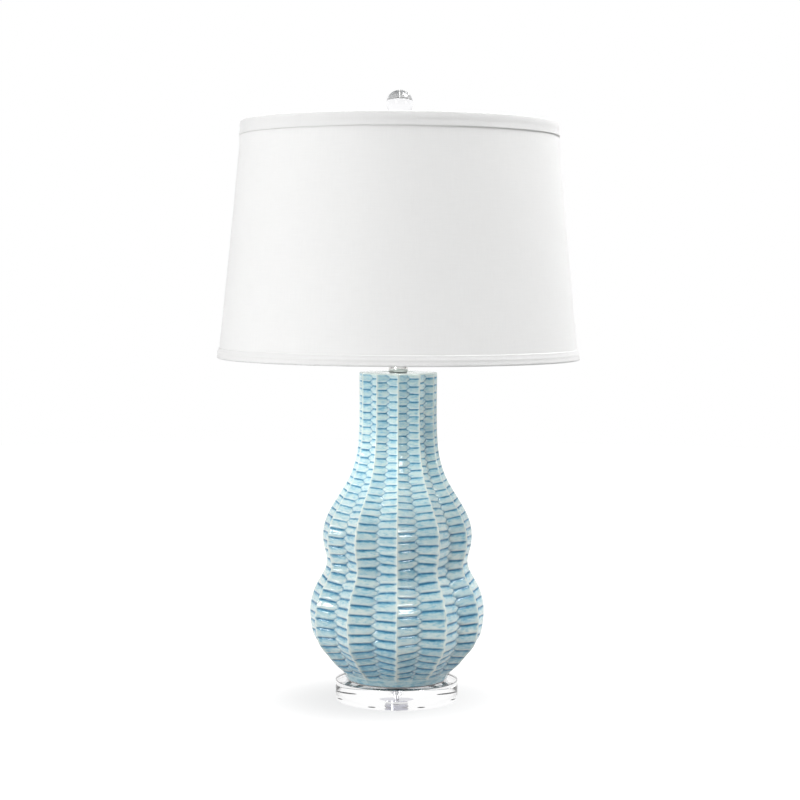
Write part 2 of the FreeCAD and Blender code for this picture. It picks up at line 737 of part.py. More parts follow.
def harp_wire():
    """Bent wire loop with upright legs and a flat boss at the top for the swivel stud."""
    right = [
        V(HARP_HALF_TOP, 0, HARP_TOP), V(HARP_BULGE, 0, HARP_BULGE_HIGH), V(HARP_BULGE, 0, HARP_BULGE_LOW),
        V(HARP_LEG, 0, HARP_LEG_TOP), V(HARP_LEG, 0, SADDLE_TOP)]
    left = [V(-point.x, 0, point.z) for point in reversed(right)]
    bends = [HARP_TOP_BEND, HARP_SIDE_BEND, HARP_LEG_BEND, HARP_LEG_BEND]
    path = rounded_path(left + right, bends[::-1] + bends)
    loop = wire_along(path, HARP_WIRE_RADIUS)
    boss_top = HARP_TOP + HARP_WIRE_RADIUS
    boss = rod(BOSS_RADIUS, boss_top - BOSS_HEIGHT, boss_top)
    swivel_hole = rod(SWIVEL_RADIUS + SWIVEL_RUNNING_FIT, HARP_TOP - 4, HARP_TOP + 4)
    # The rivet's head turns in a shallow seat under the wire.
    rivet_seat = rod(3.9, HARP_TOP - 4, boss_top - BOSS_HEIGHT)
    return loop.fuse(boss).cut(swivel_hole.fuse(rivet_seat)).removeSplitter()


def harp_sleeve(side):
    """Oval sleeve that locks one leg of the harp to its peg."""
    near = side * (PEG_CENTRE - PEG_THICKNESS / 2 - SADDLE_CLEARANCE)
    far = side * (HARP_LEG + HARP_WIRE_RADIUS + SADDLE_CLEARANCE)
    half = SLEEVE_HALF_WIDTH
    grow = side * SLEEVE_WALL
    top = SLEEVE_BOTTOM + SLEEVE_HEIGHT
    outer = slot_prism(near - grow - side * 0.7, far + grow + side * 0.5, half + SLEEVE_WALL,
                       SLEEVE_BOTTOM, top)
    inner = slot_prism(near - side * 0.7, far + side * 0.5, half, SLEEVE_BOTTOM - 1, top + 1)
    return outer.cut(inner)


def harp_stud():
    """Swivel stud: rivet end under the wire, flange that carries the shade, thread above."""
    boss_top = HARP_TOP + HARP_WIRE_RADIUS
    seat = boss_top - BOSS_HEIGHT
    flange_bottom = boss_top + 0.1
    return turned([
        (0, seat - 1.4), (2.6, seat - 1.4), (3.5, seat - 0.1), (SWIVEL_RADIUS, seat - 0.1),
        (SWIVEL_RADIUS, flange_bottom), (STUD_FLANGE_RADIUS, flange_bottom),
        (STUD_FLANGE_RADIUS, HUB_BOTTOM), (STUD_RADIUS, HUB_BOTTOM),
        (STUD_RADIUS, HUB_TOP + STUD_ABOVE_HUB - 0.6),
        (STUD_RADIUS - 0.6, HUB_TOP + STUD_ABOVE_HUB), (0, HUB_TOP + STUD_ABOVE_HUB)])


# Shade

def wall_radius(height):
    """Outer radius of the shade's fabric: a cone that is drawn in a little at mid height."""
    middle = (SHADE_TOP + SHADE_BOTTOM) / 2.0
    half = (SHADE_TOP - SHADE_BOTTOM) / 2.0
    u = (height - middle) / half
    cone = (SHADE_RADIUS_TOP + SHADE_RADIUS_BOTTOM) / 2.0 + u * (SHADE_RADIUS_TOP - SHADE_RADIUS_BOTTOM) / 2.0
    return cone - SHADE_BOW * (1.0 - u * u)


def wall(inset, thickness):
    """One layer of the shade's wall, between the rims."""
    low = SHADE_BOTTOM + TAPE
    high = SHADE_TOP - TAPE
    heights = [low + k * (high - low) / 4.0 for k in range(5)]
    outer = [(wall_radius(z) - inset, z) for z in heights]
    inner = [(radius - thickness, z) for radius, z in outer]
    return turned_edges([
        profile(outer), line(outer[-1], inner[-1]), profile(inner), line(inner[0], outer[0])])


def ring_centre(top):
    """Radius and height of the wire ring inside one rim."""
    step = TAPE + RING_WIRE_RADIUS + 0.1
    height = SHADE_TOP - step if top else SHADE_BOTTOM + step
    return wall_radius(height) - FABRIC - LINER - RING_WIRE_RADIUS - 0.25, height


def shade_ring(top):
    """Wire ring at one rim of the shade."""
    radius, height = ring_centre(top)
    return Part.makeTorus(radius, RING_WIRE_RADIUS, V(0, 0, height), UP)


def shade_tape(top):
    """Tape folded over one rim, round the wall's edge and the wire ring."""
    rim = SHADE_TOP if top else SHADE_BOTTOM
    turn = -1.0 if top else 1.0
    height = TOP_TAPE_HEIGHT if top else BOTTOM_TAPE_HEIGHT
    proud = TOP_TAPE_PROUD if top else BOTTOM_TAPE_PROUD
    outer_end = rim + turn * height
    inner_end = rim + turn * TAPE_INNER_HEIGHT
    edge = rim + turn * TAPE
    ring_radius = ring_centre(top)[0]
    inner = ring_radius - RING_WIRE_RADIUS - 0.1
    outside = [(wall_radius(outer_end) + 0.08, outer_end), (wall_radius(edge) + 0.08, edge)]
    crown = wall_radius((rim + outer_end) / 2.0) + proud
    corner = wall_radius(rim) + proud - 0.2
    edges = [
        line(outside[0], outside[1]),
        line(outside[1], (inner, edge)),
        line((inner, edge), (inner, inner_end)),
        line((inner, inner_end), (inner - TAPE, inner_end)),
        line((inner - TAPE, inner_end), (inner - TAPE, rim + turn * 0.8)),
        arc((inner - TAPE, rim + turn * 0.8), (inner - TAPE + 0.23, rim + turn * 0.23),
            (inner - TAPE + 0.8, rim)),
        line((inner - TAPE + 0.8, rim), (corner - 1.0, rim)),
        arc((corner - 1.0, rim), (corner - 0.29, rim + turn * 0.29), (corner, rim + turn * 1.0)),
        profile([(corner, rim + turn * 1.0), (crown, (rim + outer_end) / 2.0),
                 (wall_radius(outer_end) + 0.5, outer_end)]),
        line((wall_radius(outer_end) + 0.5, outer_end), outside[0]),
    ]
    return turned_edges(edges)


def spider_hub():
    """Flat washer that drops over the stud."""
    return tube(HUB_RADIUS, STUD_RADIUS + FIT, HUB_BOTTOM, HUB_TOP)


def spider_arms():
    """Three wire arms from the washer's edge, level at first, then up to the top ring."""
    ring_radius, ring_height = ring_centre(True)
    level = (HUB_BOTTOM + HUB_TOP) / 2.0
    path = rounded_path(
        [V(HUB_RADIUS - 0.6, 0, level), V(ring_radius - ARM_BEND_INSET, 0, level),
         V(ring_radius - 1.2, 0, ring_height - 1.0)], [ARM_BEND])
    arm = wire_along(path, ARM_WIRE_RADIUS)
    arms = []
    for k in range(ARM_COUNT):
        turned_arm = arm.copy()
        turned_arm.rotate(ORIGIN, UP, 90 + k * 360.0 / ARM_COUNT)
        arms.append(turned_arm)
    return Part.makeCompound(arms)


# Finial

def finial_base():
    """Turned metal ferrule with a blind threaded hole."""
    low = HUB_TOP
    high = low + FINIAL_BASE_HEIGHT
    depth = low + STUD_ABOVE_HUB + 0.6
    bore = FINIAL_BORE_RADIUS
    return turned([
        (bore, low), (8.6, low), (9.0, low + 0.5), (9.0, low + 2.2), (6.6, low + 3.8),
        (5.2, low + 8.2), (5.6, low + 11.6), (8.2, low + 14.6), (8.2, high), (0, high),
        (0, depth), (bore, depth)])


def finial_ball():
    """Clear ball with a small flat where it is cemented on the ferrule."""
    low = HUB_TOP + FINIAL_BASE_HEIGHT
    centre = V(0, 0, low + BALL_FLAT_BELOW_CENTRE)
    below = rod(BALL_RADIUS + 1, low - 5, low)
    return Part.makeSphere(BALL_RADIUS, centre).cut(below)


def main():
    os.makedirs("parts", exist_ok=True)
    for maker in (base_feet, acrylic_base, base_washer, base_bolt, base_coupling, lamp_pipe,
                  base_gasket, ceramic_body, cord_grommet, top_gasket, neck, harp_saddle, pipe_nut,
                  socket_cap, socket_set_screw, socket_shell, socket_liner, socket_insulator,
                  terminal_screws, socket_screw_shell, socket_contact, switch_shaft, switch_key,
                  bulb_contact, bulb_cap, bulb_globe, harp_wire, harp_stud, spider_hub,
                  spider_arms, finial_base, finial_ball):
        save(maker.__name__, maker())
    save("harp_sleeve_left", harp_sleeve(-1))
    save("harp_sleeve_right", harp_sleeve(1))
    save("shade_fabric", wall(0.0, FABRIC))
    save("shade_liner", wall(FABRIC, LINER))
    save("shade_top_ring", shade_ring(True))
    save("shade_bottom_ring", shade_ring(False))
    save("shade_top_tape", shade_tape(True))
    save("shade_bottom_tape", shade_tape(False))


main()
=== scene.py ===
import math

import bmesh
import bpy
import numpy as np
from mathutils import Matrix, Vector


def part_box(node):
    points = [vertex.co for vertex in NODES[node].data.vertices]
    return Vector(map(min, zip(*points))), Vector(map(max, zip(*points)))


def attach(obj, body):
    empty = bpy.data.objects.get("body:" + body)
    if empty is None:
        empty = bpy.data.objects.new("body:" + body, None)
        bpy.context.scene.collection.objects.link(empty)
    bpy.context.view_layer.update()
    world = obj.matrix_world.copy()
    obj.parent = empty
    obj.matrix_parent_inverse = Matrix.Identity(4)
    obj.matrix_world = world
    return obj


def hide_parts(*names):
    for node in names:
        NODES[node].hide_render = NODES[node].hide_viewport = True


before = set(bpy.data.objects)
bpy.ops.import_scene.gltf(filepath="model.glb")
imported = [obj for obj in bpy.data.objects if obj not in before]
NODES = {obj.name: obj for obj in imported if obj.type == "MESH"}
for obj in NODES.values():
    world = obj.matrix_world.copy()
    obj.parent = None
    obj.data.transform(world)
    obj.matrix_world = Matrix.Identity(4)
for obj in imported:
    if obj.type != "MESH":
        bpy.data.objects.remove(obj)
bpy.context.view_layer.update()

# Double gourd table lamp. Lengths are metres unless a name says mm; the viewer of the lamp's
# front looks along +Y, and azimuth is measured from the front towards +X.

MM = 0.001
TURN = 2.0 * math.pi
TINY = 1e-6
rng = np.random.default_rng(11)


# Mesh helpers

def linked(name, data):
    """New object of the scene that holds a mesh, lamp or camera."""
    obj = bpy.data.objects.new(name, data)
    bpy.context.scene.collection.objects.link(obj)
    return obj


def box_mm(box):
    """Radius, bottom and top in mm of the box of a round node."""
    low, high = box
    return high.x / MM, low.z / MM, high.z / MM


def new_object(name, points, faces, sharp_angle=None):
    """Mesh object with its place in its vertices; edges over sharp_angle degrees stay crisp."""
    mesh = bpy.data.meshes.new(name)
    mesh.from_pydata([tuple(p) for p in points], [], faces)
    mesh.update()
    mesh.polygons.foreach_set("use_smooth", [True] * len(mesh.polygons))
    if sharp_angle is not None:
        mesh.set_sharp_from_angle(angle=math.radians(sharp_angle))
    return linked(name, mesh)


def grid_faces(rows, columns, wrap_rows=False, wrap_columns=True):
    """Quads of a grid of points, stored row by row, that may close on itself either way."""
    row_count = rows if wrap_rows else rows - 1
    column_count = columns if wrap_columns else columns - 1
    faces = []
    for i in range(row_count):
        a = i * columns
        b = ((i + 1) % rows) * columns
        for j in range(column_count):
            k = (j + 1) % columns
            faces.append((a + j, a + k, b + k, b + j))
    return faces


def level_ring(radius, height, count):
    """Points of a level circle about Z, from the front towards +X; radius and height are in mm."""
    turns = [TURN * j / count for j in range(count)]
    return [(radius * MM * math.sin(a), -radius * MM * math.cos(a), height * MM) for a in turns]


def lathe(name, outline, segments=96, closed=True, sharp_angle=35.0, axis=None):
    """Solid of revolution about Z from (radius, height) points in mm, counter-clockwise.

    A radius of zero becomes one pole. axis is a matrix that carries the result elsewhere."""
    points = []
    rings = []
    for radius, height in outline:
        start = len(points)
        if radius < TINY:
            points.append((0.0, 0.0, height * MM))
        else:
            points += level_ring(radius, height, segments)
        rings.append(range(start, len(points)))
    faces = []
    for low, high in zip(rings, rings[1:] + rings[:1] if closed else rings[1:]):
        if len(low) == len(high) == 1:
            continue
        for j in range(segments):
            k = (j + 1) % segments
            corners = [ring[i % len(ring)] for ring, i in ((low, j), (low, k), (high, k), (high, j))]
            faces.append(tuple(dict.fromkeys(corners)))
    if axis is not None:
        points = [tuple(axis @ Vector(p)) for p in points]
    return new_object(name, points, faces, sharp_angle)


def rounded(outline, radius, steps=4):
    """Outline of (radius, height) points with every clear corner off the axis made round."""
    longest_share = 0.45
    flat_half_angle = math.radians(85)
    made = []
    count = len(outline)
    for i in range(count):
        before, here, after = (np.array(outline[k % count], float) for k in (i - 1, i, i + 1))
        back = before - here
        ahead = after - here
        room = longest_share * min(np.linalg.norm(back), np.linalg.norm(ahead))
        back = back / np.linalg.norm(back)
        ahead = ahead / np.linalg.norm(ahead)
        half = math.acos(max(-1.0, min(1.0, float(back @ ahead)))) / 2.0
        if here[0] < TINY or half > flat_half_angle:
            made.append(tuple(here))
            continue
        reach = min(radius / math.tan(half), room)
        for k in range(steps + 1):
            u = k / steps
            point = (1 - u) ** 2 * (here + back * reach) + 2 * u * (1 - u) * here
            point = point + u * u * (here + ahead * reach)
            made.append(tuple(point))
    return made


def natural_spline(x, y):
    """Natural cubic spline: a function that gives value and slope at an array of places."""
    x = np.array(x, float)
    y = np.array(y, float)
    h = np.diff(x)
    n = len(x)
    system = np.zeros((n, n))
    right = np.zeros(n)
    system[0, 0] = system[-1, -1] = 1.0
    for i in range(1, n - 1):
        system[i, i - 1:i + 2] = h[i - 1], 2 * (h[i - 1] + h[i]), h[i]
        right[i] = 6 * ((y[i + 1] - y[i]) / h[i] - (y[i] - y[i - 1]) / h[i - 1])
    bend = np.linalg.solve(system, right)

    def at(place):
        place = np.asarray(place, float)
        i = np.clip(np.searchsorted(x, place) - 1, 0, n - 2)
        a = (x[i + 1] - place) / h[i]
        b = (place - x[i]) / h[i]
        value = a * y[i] + b * y[i + 1]
        value = value + ((a ** 3 - a) * bend[i] + (b ** 3 - b) * bend[i + 1]) * h[i] ** 2 / 6
        slope = (y[i + 1] - y[i]) / h[i]
        slope = slope + (-(3 * a * a - 1) * bend[i] + (3 * b * b - 1) * bend[i + 1]) * h[i] / 6
        return value, slope

    return at


def smooth(low, high, value):
    """Smooth step from 0 at low to 1 at high."""
    u = np.clip((np.asarray(value, float) - low) / (high - low), 0.0, 1.0)
    return u * u * (3 - 2 * u)


def store(obj, name, values):
    """One number per point, which a material reads by name."""
    layer = obj.data.attributes.new(name, "FLOAT", "POINT")
    layer.data.foreach_set("value", np.asarray(values, np.float32).ravel())


def around_axis(radius, angles, height):
    """Points in mm at these azimuths, each with its radius and height."""
    xyz = np.broadcast_arrays(radius * np.sin(angles), -radius * np.cos(angles), height)
    return np.stack(xyz, -1)


def join(name, parts):
    """Several meshes as one object."""
    made = bmesh.new()
    for part in parts:
        made.from_mesh(part.data)
    mesh = bpy.data.meshes.new(name)
    made.to_mesh(mesh)
    made.free()
    for part in parts:
        bpy.data.objects.remove(part)
    return linked(name, mesh)


# Material helpers

def new_material(name):
    """Material with one Principled shader, and its tree, shader and output."""
    mat = bpy.data.materials.new(name)
    mat.use_nodes = True
    tree = mat.node_tree
    tree.nodes.clear()
    out = tree.nodes.new("ShaderNodeOutputMaterial")
    shader = tree.nodes.new("ShaderNodeBsdfPrincipled")
    tree.links.new(shader.outputs[0], out.inputs["Surface"])
    return mat, tree, shader, out


def node(tree, kind, inputs=None, **settings):
    """Node of one kind with settings; inputs are numbers, colours or sockets to link."""
    made = tree.nodes.new("ShaderNode" + kind)
    for key, value in settings.items():
        setattr(made, key, value)
    for key, value in (inputs or {}).items():
        if isinstance(value, bpy.types.NodeSocket):
            tree.links.new(value, made.inputs[key])
        else:
            made.inputs[key].default_value = value
    return made


def maths(tree, operation, a, b=0.0, c=0.0):
    """Result of a Math node."""
    return node(tree, "Math", {0: a, 1: b, 2: c}, operation=operation).outputs[0]


def times(tree, a, b):
    """Product of two numbers or sockets."""
    return maths(tree, "MULTIPLY", a, b)


def colour(value):
    """RGBA from a linear triple."""
    return (*value, 1.0)


def ramp(tree, factor, stops):
    """Colour ramp from (place, linear colour) stops."""
    made = node(tree, "ValToRGB", {0: factor})
    elements = made.color_ramp.elements
    while len(elements) < len(stops):
        elements.new(0.5)
    for element, (place, value) in zip(elements, stops):
        element.position = place
        element.color = colour(value)
    return made.outputs[0]


def blend_colour(tree, factor, a, b, mode="MIX"):
    """Colour a with a share of colour b mixed or multiplied in."""
    return node(tree, "Mix", {0: factor, 6: a, 7: b}, data_type="RGBA", blend_type=mode).outputs[2]


def noise(tree, scale, detail=3.0, roughness=0.5, coordinates=None):
    """Fractal noise from 0 to 1, on the object's own coordinates unless others are given."""
    if coordinates is None:
        coordinates = node(tree, "TexCoord").outputs["Object"]
    inputs = {"Scale": scale, "Detail": detail, "Roughness": roughness, "Vector": coordinates}
    return node(tree, "TexNoise", inputs).outputs["Fac"]


def spread(tree, value, low, high):
    """Map 0..1 to a range."""
    return node(tree, "MapRange", {0: value, 3: low, 4: high}).outputs[0]


def soft_rise(tree, value, start, end, low=0.0, high=1.0):
    """Map start..end to a range, with soft ends."""
    return node(tree, "MapRange", {0: value, 1: start, 2: end, 3: low, 4: high},
                interpolation_type="SMOOTHSTEP").outputs[0]


def bump(tree, shader, height, distance):
    """Fine relief, distance metres deep."""
    made = node(tree, "Bump", {"Strength": 1.0, "Distance": distance, "Height": height})
    tree.links.new(made.outputs[0], shader.inputs["Normal"])


def plain_material(name, base, roughness, metallic=0.0, grain=400.0, vary=0.06, relief=0.00004,
                   rough_vary=0.08, **sockets):
    """Moulded, rolled or painted surface: colour and roughness vary a little, with fine relief."""
    broad_share = 12.0
    mat, tree, shader, _ = new_material(name)
    fine = noise(tree, grain, 4.0)
    broad = noise(tree, grain / broad_share, 2.0)
    light = colour([min(1.0, c * (1 + vary)) for c in base])
    dark = colour([c * (1 - vary) for c in base])
    tree.links.new(blend_colour(tree, broad, dark, light), shader.inputs["Base Color"])
    low = max(0.0, roughness - rough_vary)
    tree.links.new(spread(tree, fine, low, roughness + rough_vary), shader.inputs["Roughness"])
    shader.inputs["Metallic"].default_value = metallic
    for key, value in sockets.items():
        shader.inputs[key.replace("_", " ")].default_value = value
    bump(tree, shader, fine, relief)
    return mat


def let_light_through(mat, share, tint):
    """Make a fine sheet pass a share of the light on, spread out; tint is a colour or a socket."""
    tree = mat.node_tree
    shader, out = tree.nodes["Principled BSDF"], tree.nodes["Material Output"]
    glow = node(tree, "BsdfTranslucent", {"Color": tint})
    mixed = node(tree, "MixShader", {0: share, 1: shader.outputs[0], 2: glow.outputs[0]})
    tree.links.new(mixed.outputs[0], out.inputs["Surface"])


def dress(obj, mat):
    """Give an object one material in all its slots."""
    obj.data.materials.clear()
    obj.data.materials.append(mat)
    return obj


def dress_node(name, mat):
    """New finish for a CAD node that stays as it is."""
    slots = NODES[name].material_slots
    for slot in slots:
        slot.material = mat
    if not slots:
        NODES[name].data.materials.append(mat)


def place(obj, mat, body, slot, *replaced):
    """Finish a piece: material, the body that it rides on and what it stands for; slot is not used."""
    dress(obj, mat)
    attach(obj, body)
    if replaced:
        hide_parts(*replaced)
    return obj


# Ceramic body

RIBS = 11
STATIONS_MM = [
    (0.0, 60.5, 1.00), (9.5, 66.2, 0.98), (20.0, 78.0, 0.945), (32.0, 88.5, 0.915), (46.0, 99.8, 0.905),
    (62.0, 104.7, 0.905), (80.0, 106.2, 0.905), (98.0, 103.3, 0.905), (114.0, 96.8, 0.905),
    (128.0, 88.8, 0.905), (141.0, 85.7, 0.905), (155.0, 88.7, 0.905), (173.0, 90.7, 0.905),
    (193.0, 86.2, 0.905), (217.0, 73.0, 0.90), (239.0, 60.0, 0.895), (261.0, 51.8, 0.89),
    (287.0, 47.9, 0.89), (325.0, 46.8, 0.89), (365.5, 47.0, 0.90),
]
body_low, body_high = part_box("ceramic_body")
FOOT_Z_MM = body_low.z / MM
BODY_HEIGHT_MM = (body_high.z - body_low.z) / MM
FOOT_RECESS_MM = (52.0, 3.0)
PIPE_HOLE_MM = 5.6
# Carved cells: pitch along the skin, from the neck to the belly
PITCH_NECK_MM = 8.95
PITCH_BELLY_MM = 11.3
PITCH_CHANGE_MM = (150.0, 232.0)
FIRST_GROOVE_MM = 10.5
# Places of the mesh's rows in half a cell, and of its columns between a rib and a hollow
ROW_PHASES = (0.0, 0.06, 0.14, 0.25, 0.36, 0.44)
COLUMN_SHARES = (0.0, 0.035, 0.09, 0.20, 0.42, 0.65, 0.83, 0.94, 1.0)
# How far the tongues' tips reach past the middle of the hollow, on the neck and on the belly
TIP_REACH_MM = (1.4, 2.2)
TIP_BLUNT = 0.86
# Where down the skin that reach and the size of the carving grow from the neck's to the belly's
TIP_REACH_CHANGE_MM = (160.0, 260.0)
CARVE_SIZE_CHANGE_MM = (140.0, 240.0)
GROOVE_TILT = 0.45
CARVE_SIZE_NECK = 0.66
RIB_BEAD_MM = 1.0
TONGUE_BULGE_MM = 0.5
BULGE_FULL_WIDTH_MM = 26.0
# Where the carving starts below the lip, and where it ends above the foot
LIP_FADE_MM = (0.6, 3.2)
FOOT_BAND_MM = (13.0, 8.5)
LIP_ROUND_MM = 2.0
HEEL_ROUND_MM = 1.6
# The folds keep this share of their depth at the lip, and all of it this far below
LIP_FOLD_SHARE = 0.55
LIP_BLEND_MM = 4.0
# The hand's wander: rows of cells on each flank, and shift, turn, depth, tone and reach of each
WANDER_ROWS = 64
WANDER_KINDS = 5


def skin_rows():
    """Down the skin from the lip in mm: places, the cell count at each and the pitch there."""
    step = 0.05
    longest = 420.0
    places = np.arange(0.0, longest, step)
    pitch = PITCH_NECK_MM + (PITCH_BELLY_MM - PITCH_NECK_MM) * smooth(*PITCH_CHANGE_MM, places)
    cells = np.concatenate([[0.0], np.cumsum(step / pitch[:-1])])
    cells = cells - np.interp(FIRST_GROOVE_MM, places, cells)
    return places, cells, pitch


def row_counts(first, last):
    """Cell counts of the mesh's rows between those of the lip and the foot."""
    starts = range(math.floor(first), math.ceil(last + 1))
    count = [n + half + phase for n in starts for phase in ROW_PHASES for half in (0.0, 0.5)]
    count = sorted(c for c in count if first + 0.02 < c < last - 0.02)
    return np.concatenate([[first], count, [last]])


def soft_least(sharp, *distances):
    """Least of some distances, with its corners rounded, and never below zero."""
    return np.maximum(-np.log(sum(np.exp(-sharp * d) for d in distances)) / sharp, 0.0)


def peak(distance, width, power=2):
    """Bell that is 1 at no distance and falls off over a width."""
    return np.exp(-(distance / width) ** power)


def draw_in(points, depth, radius):
    """Round a corner of the skin: move points in where they lie less than radius from its end."""
    over = np.maximum(0.0, radius - depth)
    push = radius - np.sqrt(np.maximum(0.0, radius ** 2 - over ** 2))
    flat_r = np.hypot(points[..., 0], points[..., 1])
    points[..., :2] *= ((flat_r - push) / flat_r)[..., None]


def build_body():
    """The glazed body as one closed mesh, with its carved cells as real relief."""
    heights = [row[0] for row in STATIONS_MM]
    crest = natural_spline(heights, [row[1] for row in STATIONS_MM])
    hollow = natural_spline(heights, [row[1] * row[2] for row in STATIONS_MM])
    # Distance down the crest from the lip, against height
    step = 0.1
    level = np.arange(BODY_HEIGHT_MM, -0.01, -step)
    _, slope = crest(level)
    down = np.concatenate([[0.0], np.cumsum(np.hypot(step, step * slope)[:-1])])
    full = down[-1]

    places, cells, pitch_of = skin_rows()
    count = row_counts(cells[0], np.interp(full, places, cells))
    skin = np.interp(count, cells, places)
    pitch = np.interp(skin, places, pitch_of)

    # Columns run from each rib to the hollow on its right, and on to the next rib
    panel = [(1, w) for w in COLUMN_SHARES[:-1]] + [(-1, w) for w in COLUMN_SHARES[:0:-1]]
    rows, columns = len(count), RIBS * len(panel)
    side, share = np.array(panel * RIBS, float).T
    # At each point of the skin: cells from the first groove, side of the rib, share of the way to
    # the hollow, number of the rib, distance from the lip and pitch of the cells
    T, S = np.meshgrid(count, side, indexing="ij")
    W, R, D, P = (np.broadcast_to(values, T.shape) for values in (
        share, np.repeat(np.arange(RIBS), len(panel)), skin[:, None], pitch[:, None]))

    # Grooves of the right-hand flank sit at whole cells, those of the left-hand one between
    offset = np.where(S > 0, 0.0, 0.5)
    number = np.floor(T - offset)
    phase = T - offset - number
    flank = R * 2 + (S < 0)
    table = rng.normal(size=(2 * RIBS, WANDER_ROWS, WANDER_KINDS))
    index = np.clip(number.astype(int) + 4, 0, WANDER_ROWS - 2)
    above = table[flank, index]
    below = table[flank, index + 1]
    jitter = above * (1 - phase[..., None]) + below * phase[..., None]
    fade = smooth(0.0, 0.16, W) * (1 - W ** 6)
    shift = 0.28 * jitter[..., 0] + 0.34 * jitter[..., 1] * (W - 0.5)
    # The carving fades out at the lip and above the plain foot band
    carve = smooth(*LIP_FADE_MM, D) * (1 - smooth(full - FOOT_BAND_MM[0], full - FOOT_BAND_MM[1], D))
    D = D + shift * fade * carve

    z = np.interp(D, down, level)
    crest_r, crest_slope = crest(z)
    hollow_r, _ = hollow(z)
    depth = crest_r - hollow_r
    z = z + GROOVE_TILT * (W - 0.5) * depth * crest_slope * carve
    z = np.clip(z, 0.0, BODY_HEIGHT_MM)
    crest_r, _ = crest(z)
    hollow_r, _ = hollow(z)
    # The folds run out a little into the lip
    lip = 1 - smooth(BODY_HEIGHT_MM - LIP_BLEND_MM, BODY_HEIGHT_MM, z)
    hollow_r = crest_r - (crest_r - hollow_r) * (LIP_FOLD_SHARE + (1 - LIP_FOLD_SHARE) * lip)

    fold = math.pi / RIBS
    width = np.sqrt(crest_r ** 2 + hollow_r ** 2 - 2 * crest_r * hollow_r * math.cos(fold))
    # Round tongue tips interlock along each hollow: the border between them swings from side to side
    size = CARVE_SIZE_NECK + (1 - CARVE_SIZE_NECK) * smooth(*CARVE_SIZE_CHANGE_MM, D)
    reach = TIP_REACH_MM[0] + (TIP_REACH_MM[1] - TIP_REACH_MM[0]) * smooth(*TIP_REACH_CHANGE_MM, D)
    reach = reach * (1 + 0.10 * jitter[..., 4]) * carve
    blunt = TIP_BLUNT * math.pi / 2
    swing = blunt * np.cos(TURN * T)
    border = reach * np.sin(-swing) / math.sin(blunt)
    lean = reach * blunt * np.cos(swing) / math.sin(blunt) * TURN * np.sin(TURN * T) / P
    across = np.where(S > 0, W * width, 2 * width - W * width) + border * W ** 2
    along = across / width
    right_part = np.clip(along, 0, 1)
    left_part = np.clip(along - 1, 0, 1)
    bearing = R * 2 * fold
    rib = around_axis(crest_r, bearing, z)
    middle = around_axis(hollow_r, bearing + fold, z)
    next_rib = around_axis(crest_r, bearing + 2 * fold, z)
    base = rib + (middle - rib) * right_part[..., None] + (next_rib - middle) * left_part[..., None]

    # Outward direction of the plain folds
    d_col = np.roll(base, -1, 1) - np.roll(base, 1, 1)
    outward = np.cross(np.gradient(base, axis=0), d_col)
    outward = outward / np.maximum(np.linalg.norm(outward, axis=2, keepdims=True), 1e-9)
    flip = np.sign((outward[..., :2] * base[..., :2]).sum(-1))
    outward = outward * flip[..., None]

    # Distances in mm to the groove above, the groove below, the rib and the border with the other flank
    u_after = phase * P
    u_before = (1 - phase) * P
    from_rib = W * width
    own_side = np.where(S > 0, border, -border)
    from_border = ((1 - W) * width + own_side * (1 - W ** 2)) / np.sqrt(1 + lean ** 2)
    # Rounded outline of each tongue, open towards its rib
    sharp = 1.1 / size
    near_rib = 9.0 * (1 - smooth(0.6 * size, 3.6 * size, from_rib))
    outline = soft_least(sharp, u_after + near_rib, u_before + near_rib, 1.5 * from_border)

    # Relief in mm: beads along the ribs, pillowed tongues with a lip over the next groove
    start = smooth(0.8 * size, 3.2 * size, from_rib)
    groove = peak(outline, 1.05 * size) * (1 + 0.14 * jitter[..., 2])
    pillow = 1 - np.exp(-outline / (1.7 * size))
    crown = peak(u_before - 2.6 * size, 1.9 * size) * start * smooth(0.5, 3.0, from_border)
    bead = peak(from_rib, 2.0 * size, 2.4)
    relief = RIB_BEAD_MM * size * (bead - 1) + size * start * (0.50 * pillow + 0.30 * crown - 0.85 * groove)
    bulge = TONGUE_BULGE_MM * np.sin(math.pi * W) * width / BULGE_FULL_WIDTH_MM
    points = base + outward * ((relief + bulge) * carve)[..., None]
    draw_in(points, BODY_HEIGHT_MM - points[..., 2], LIP_ROUND_MM)
    draw_in(points, points[..., 2], HEEL_ROUND_MM)
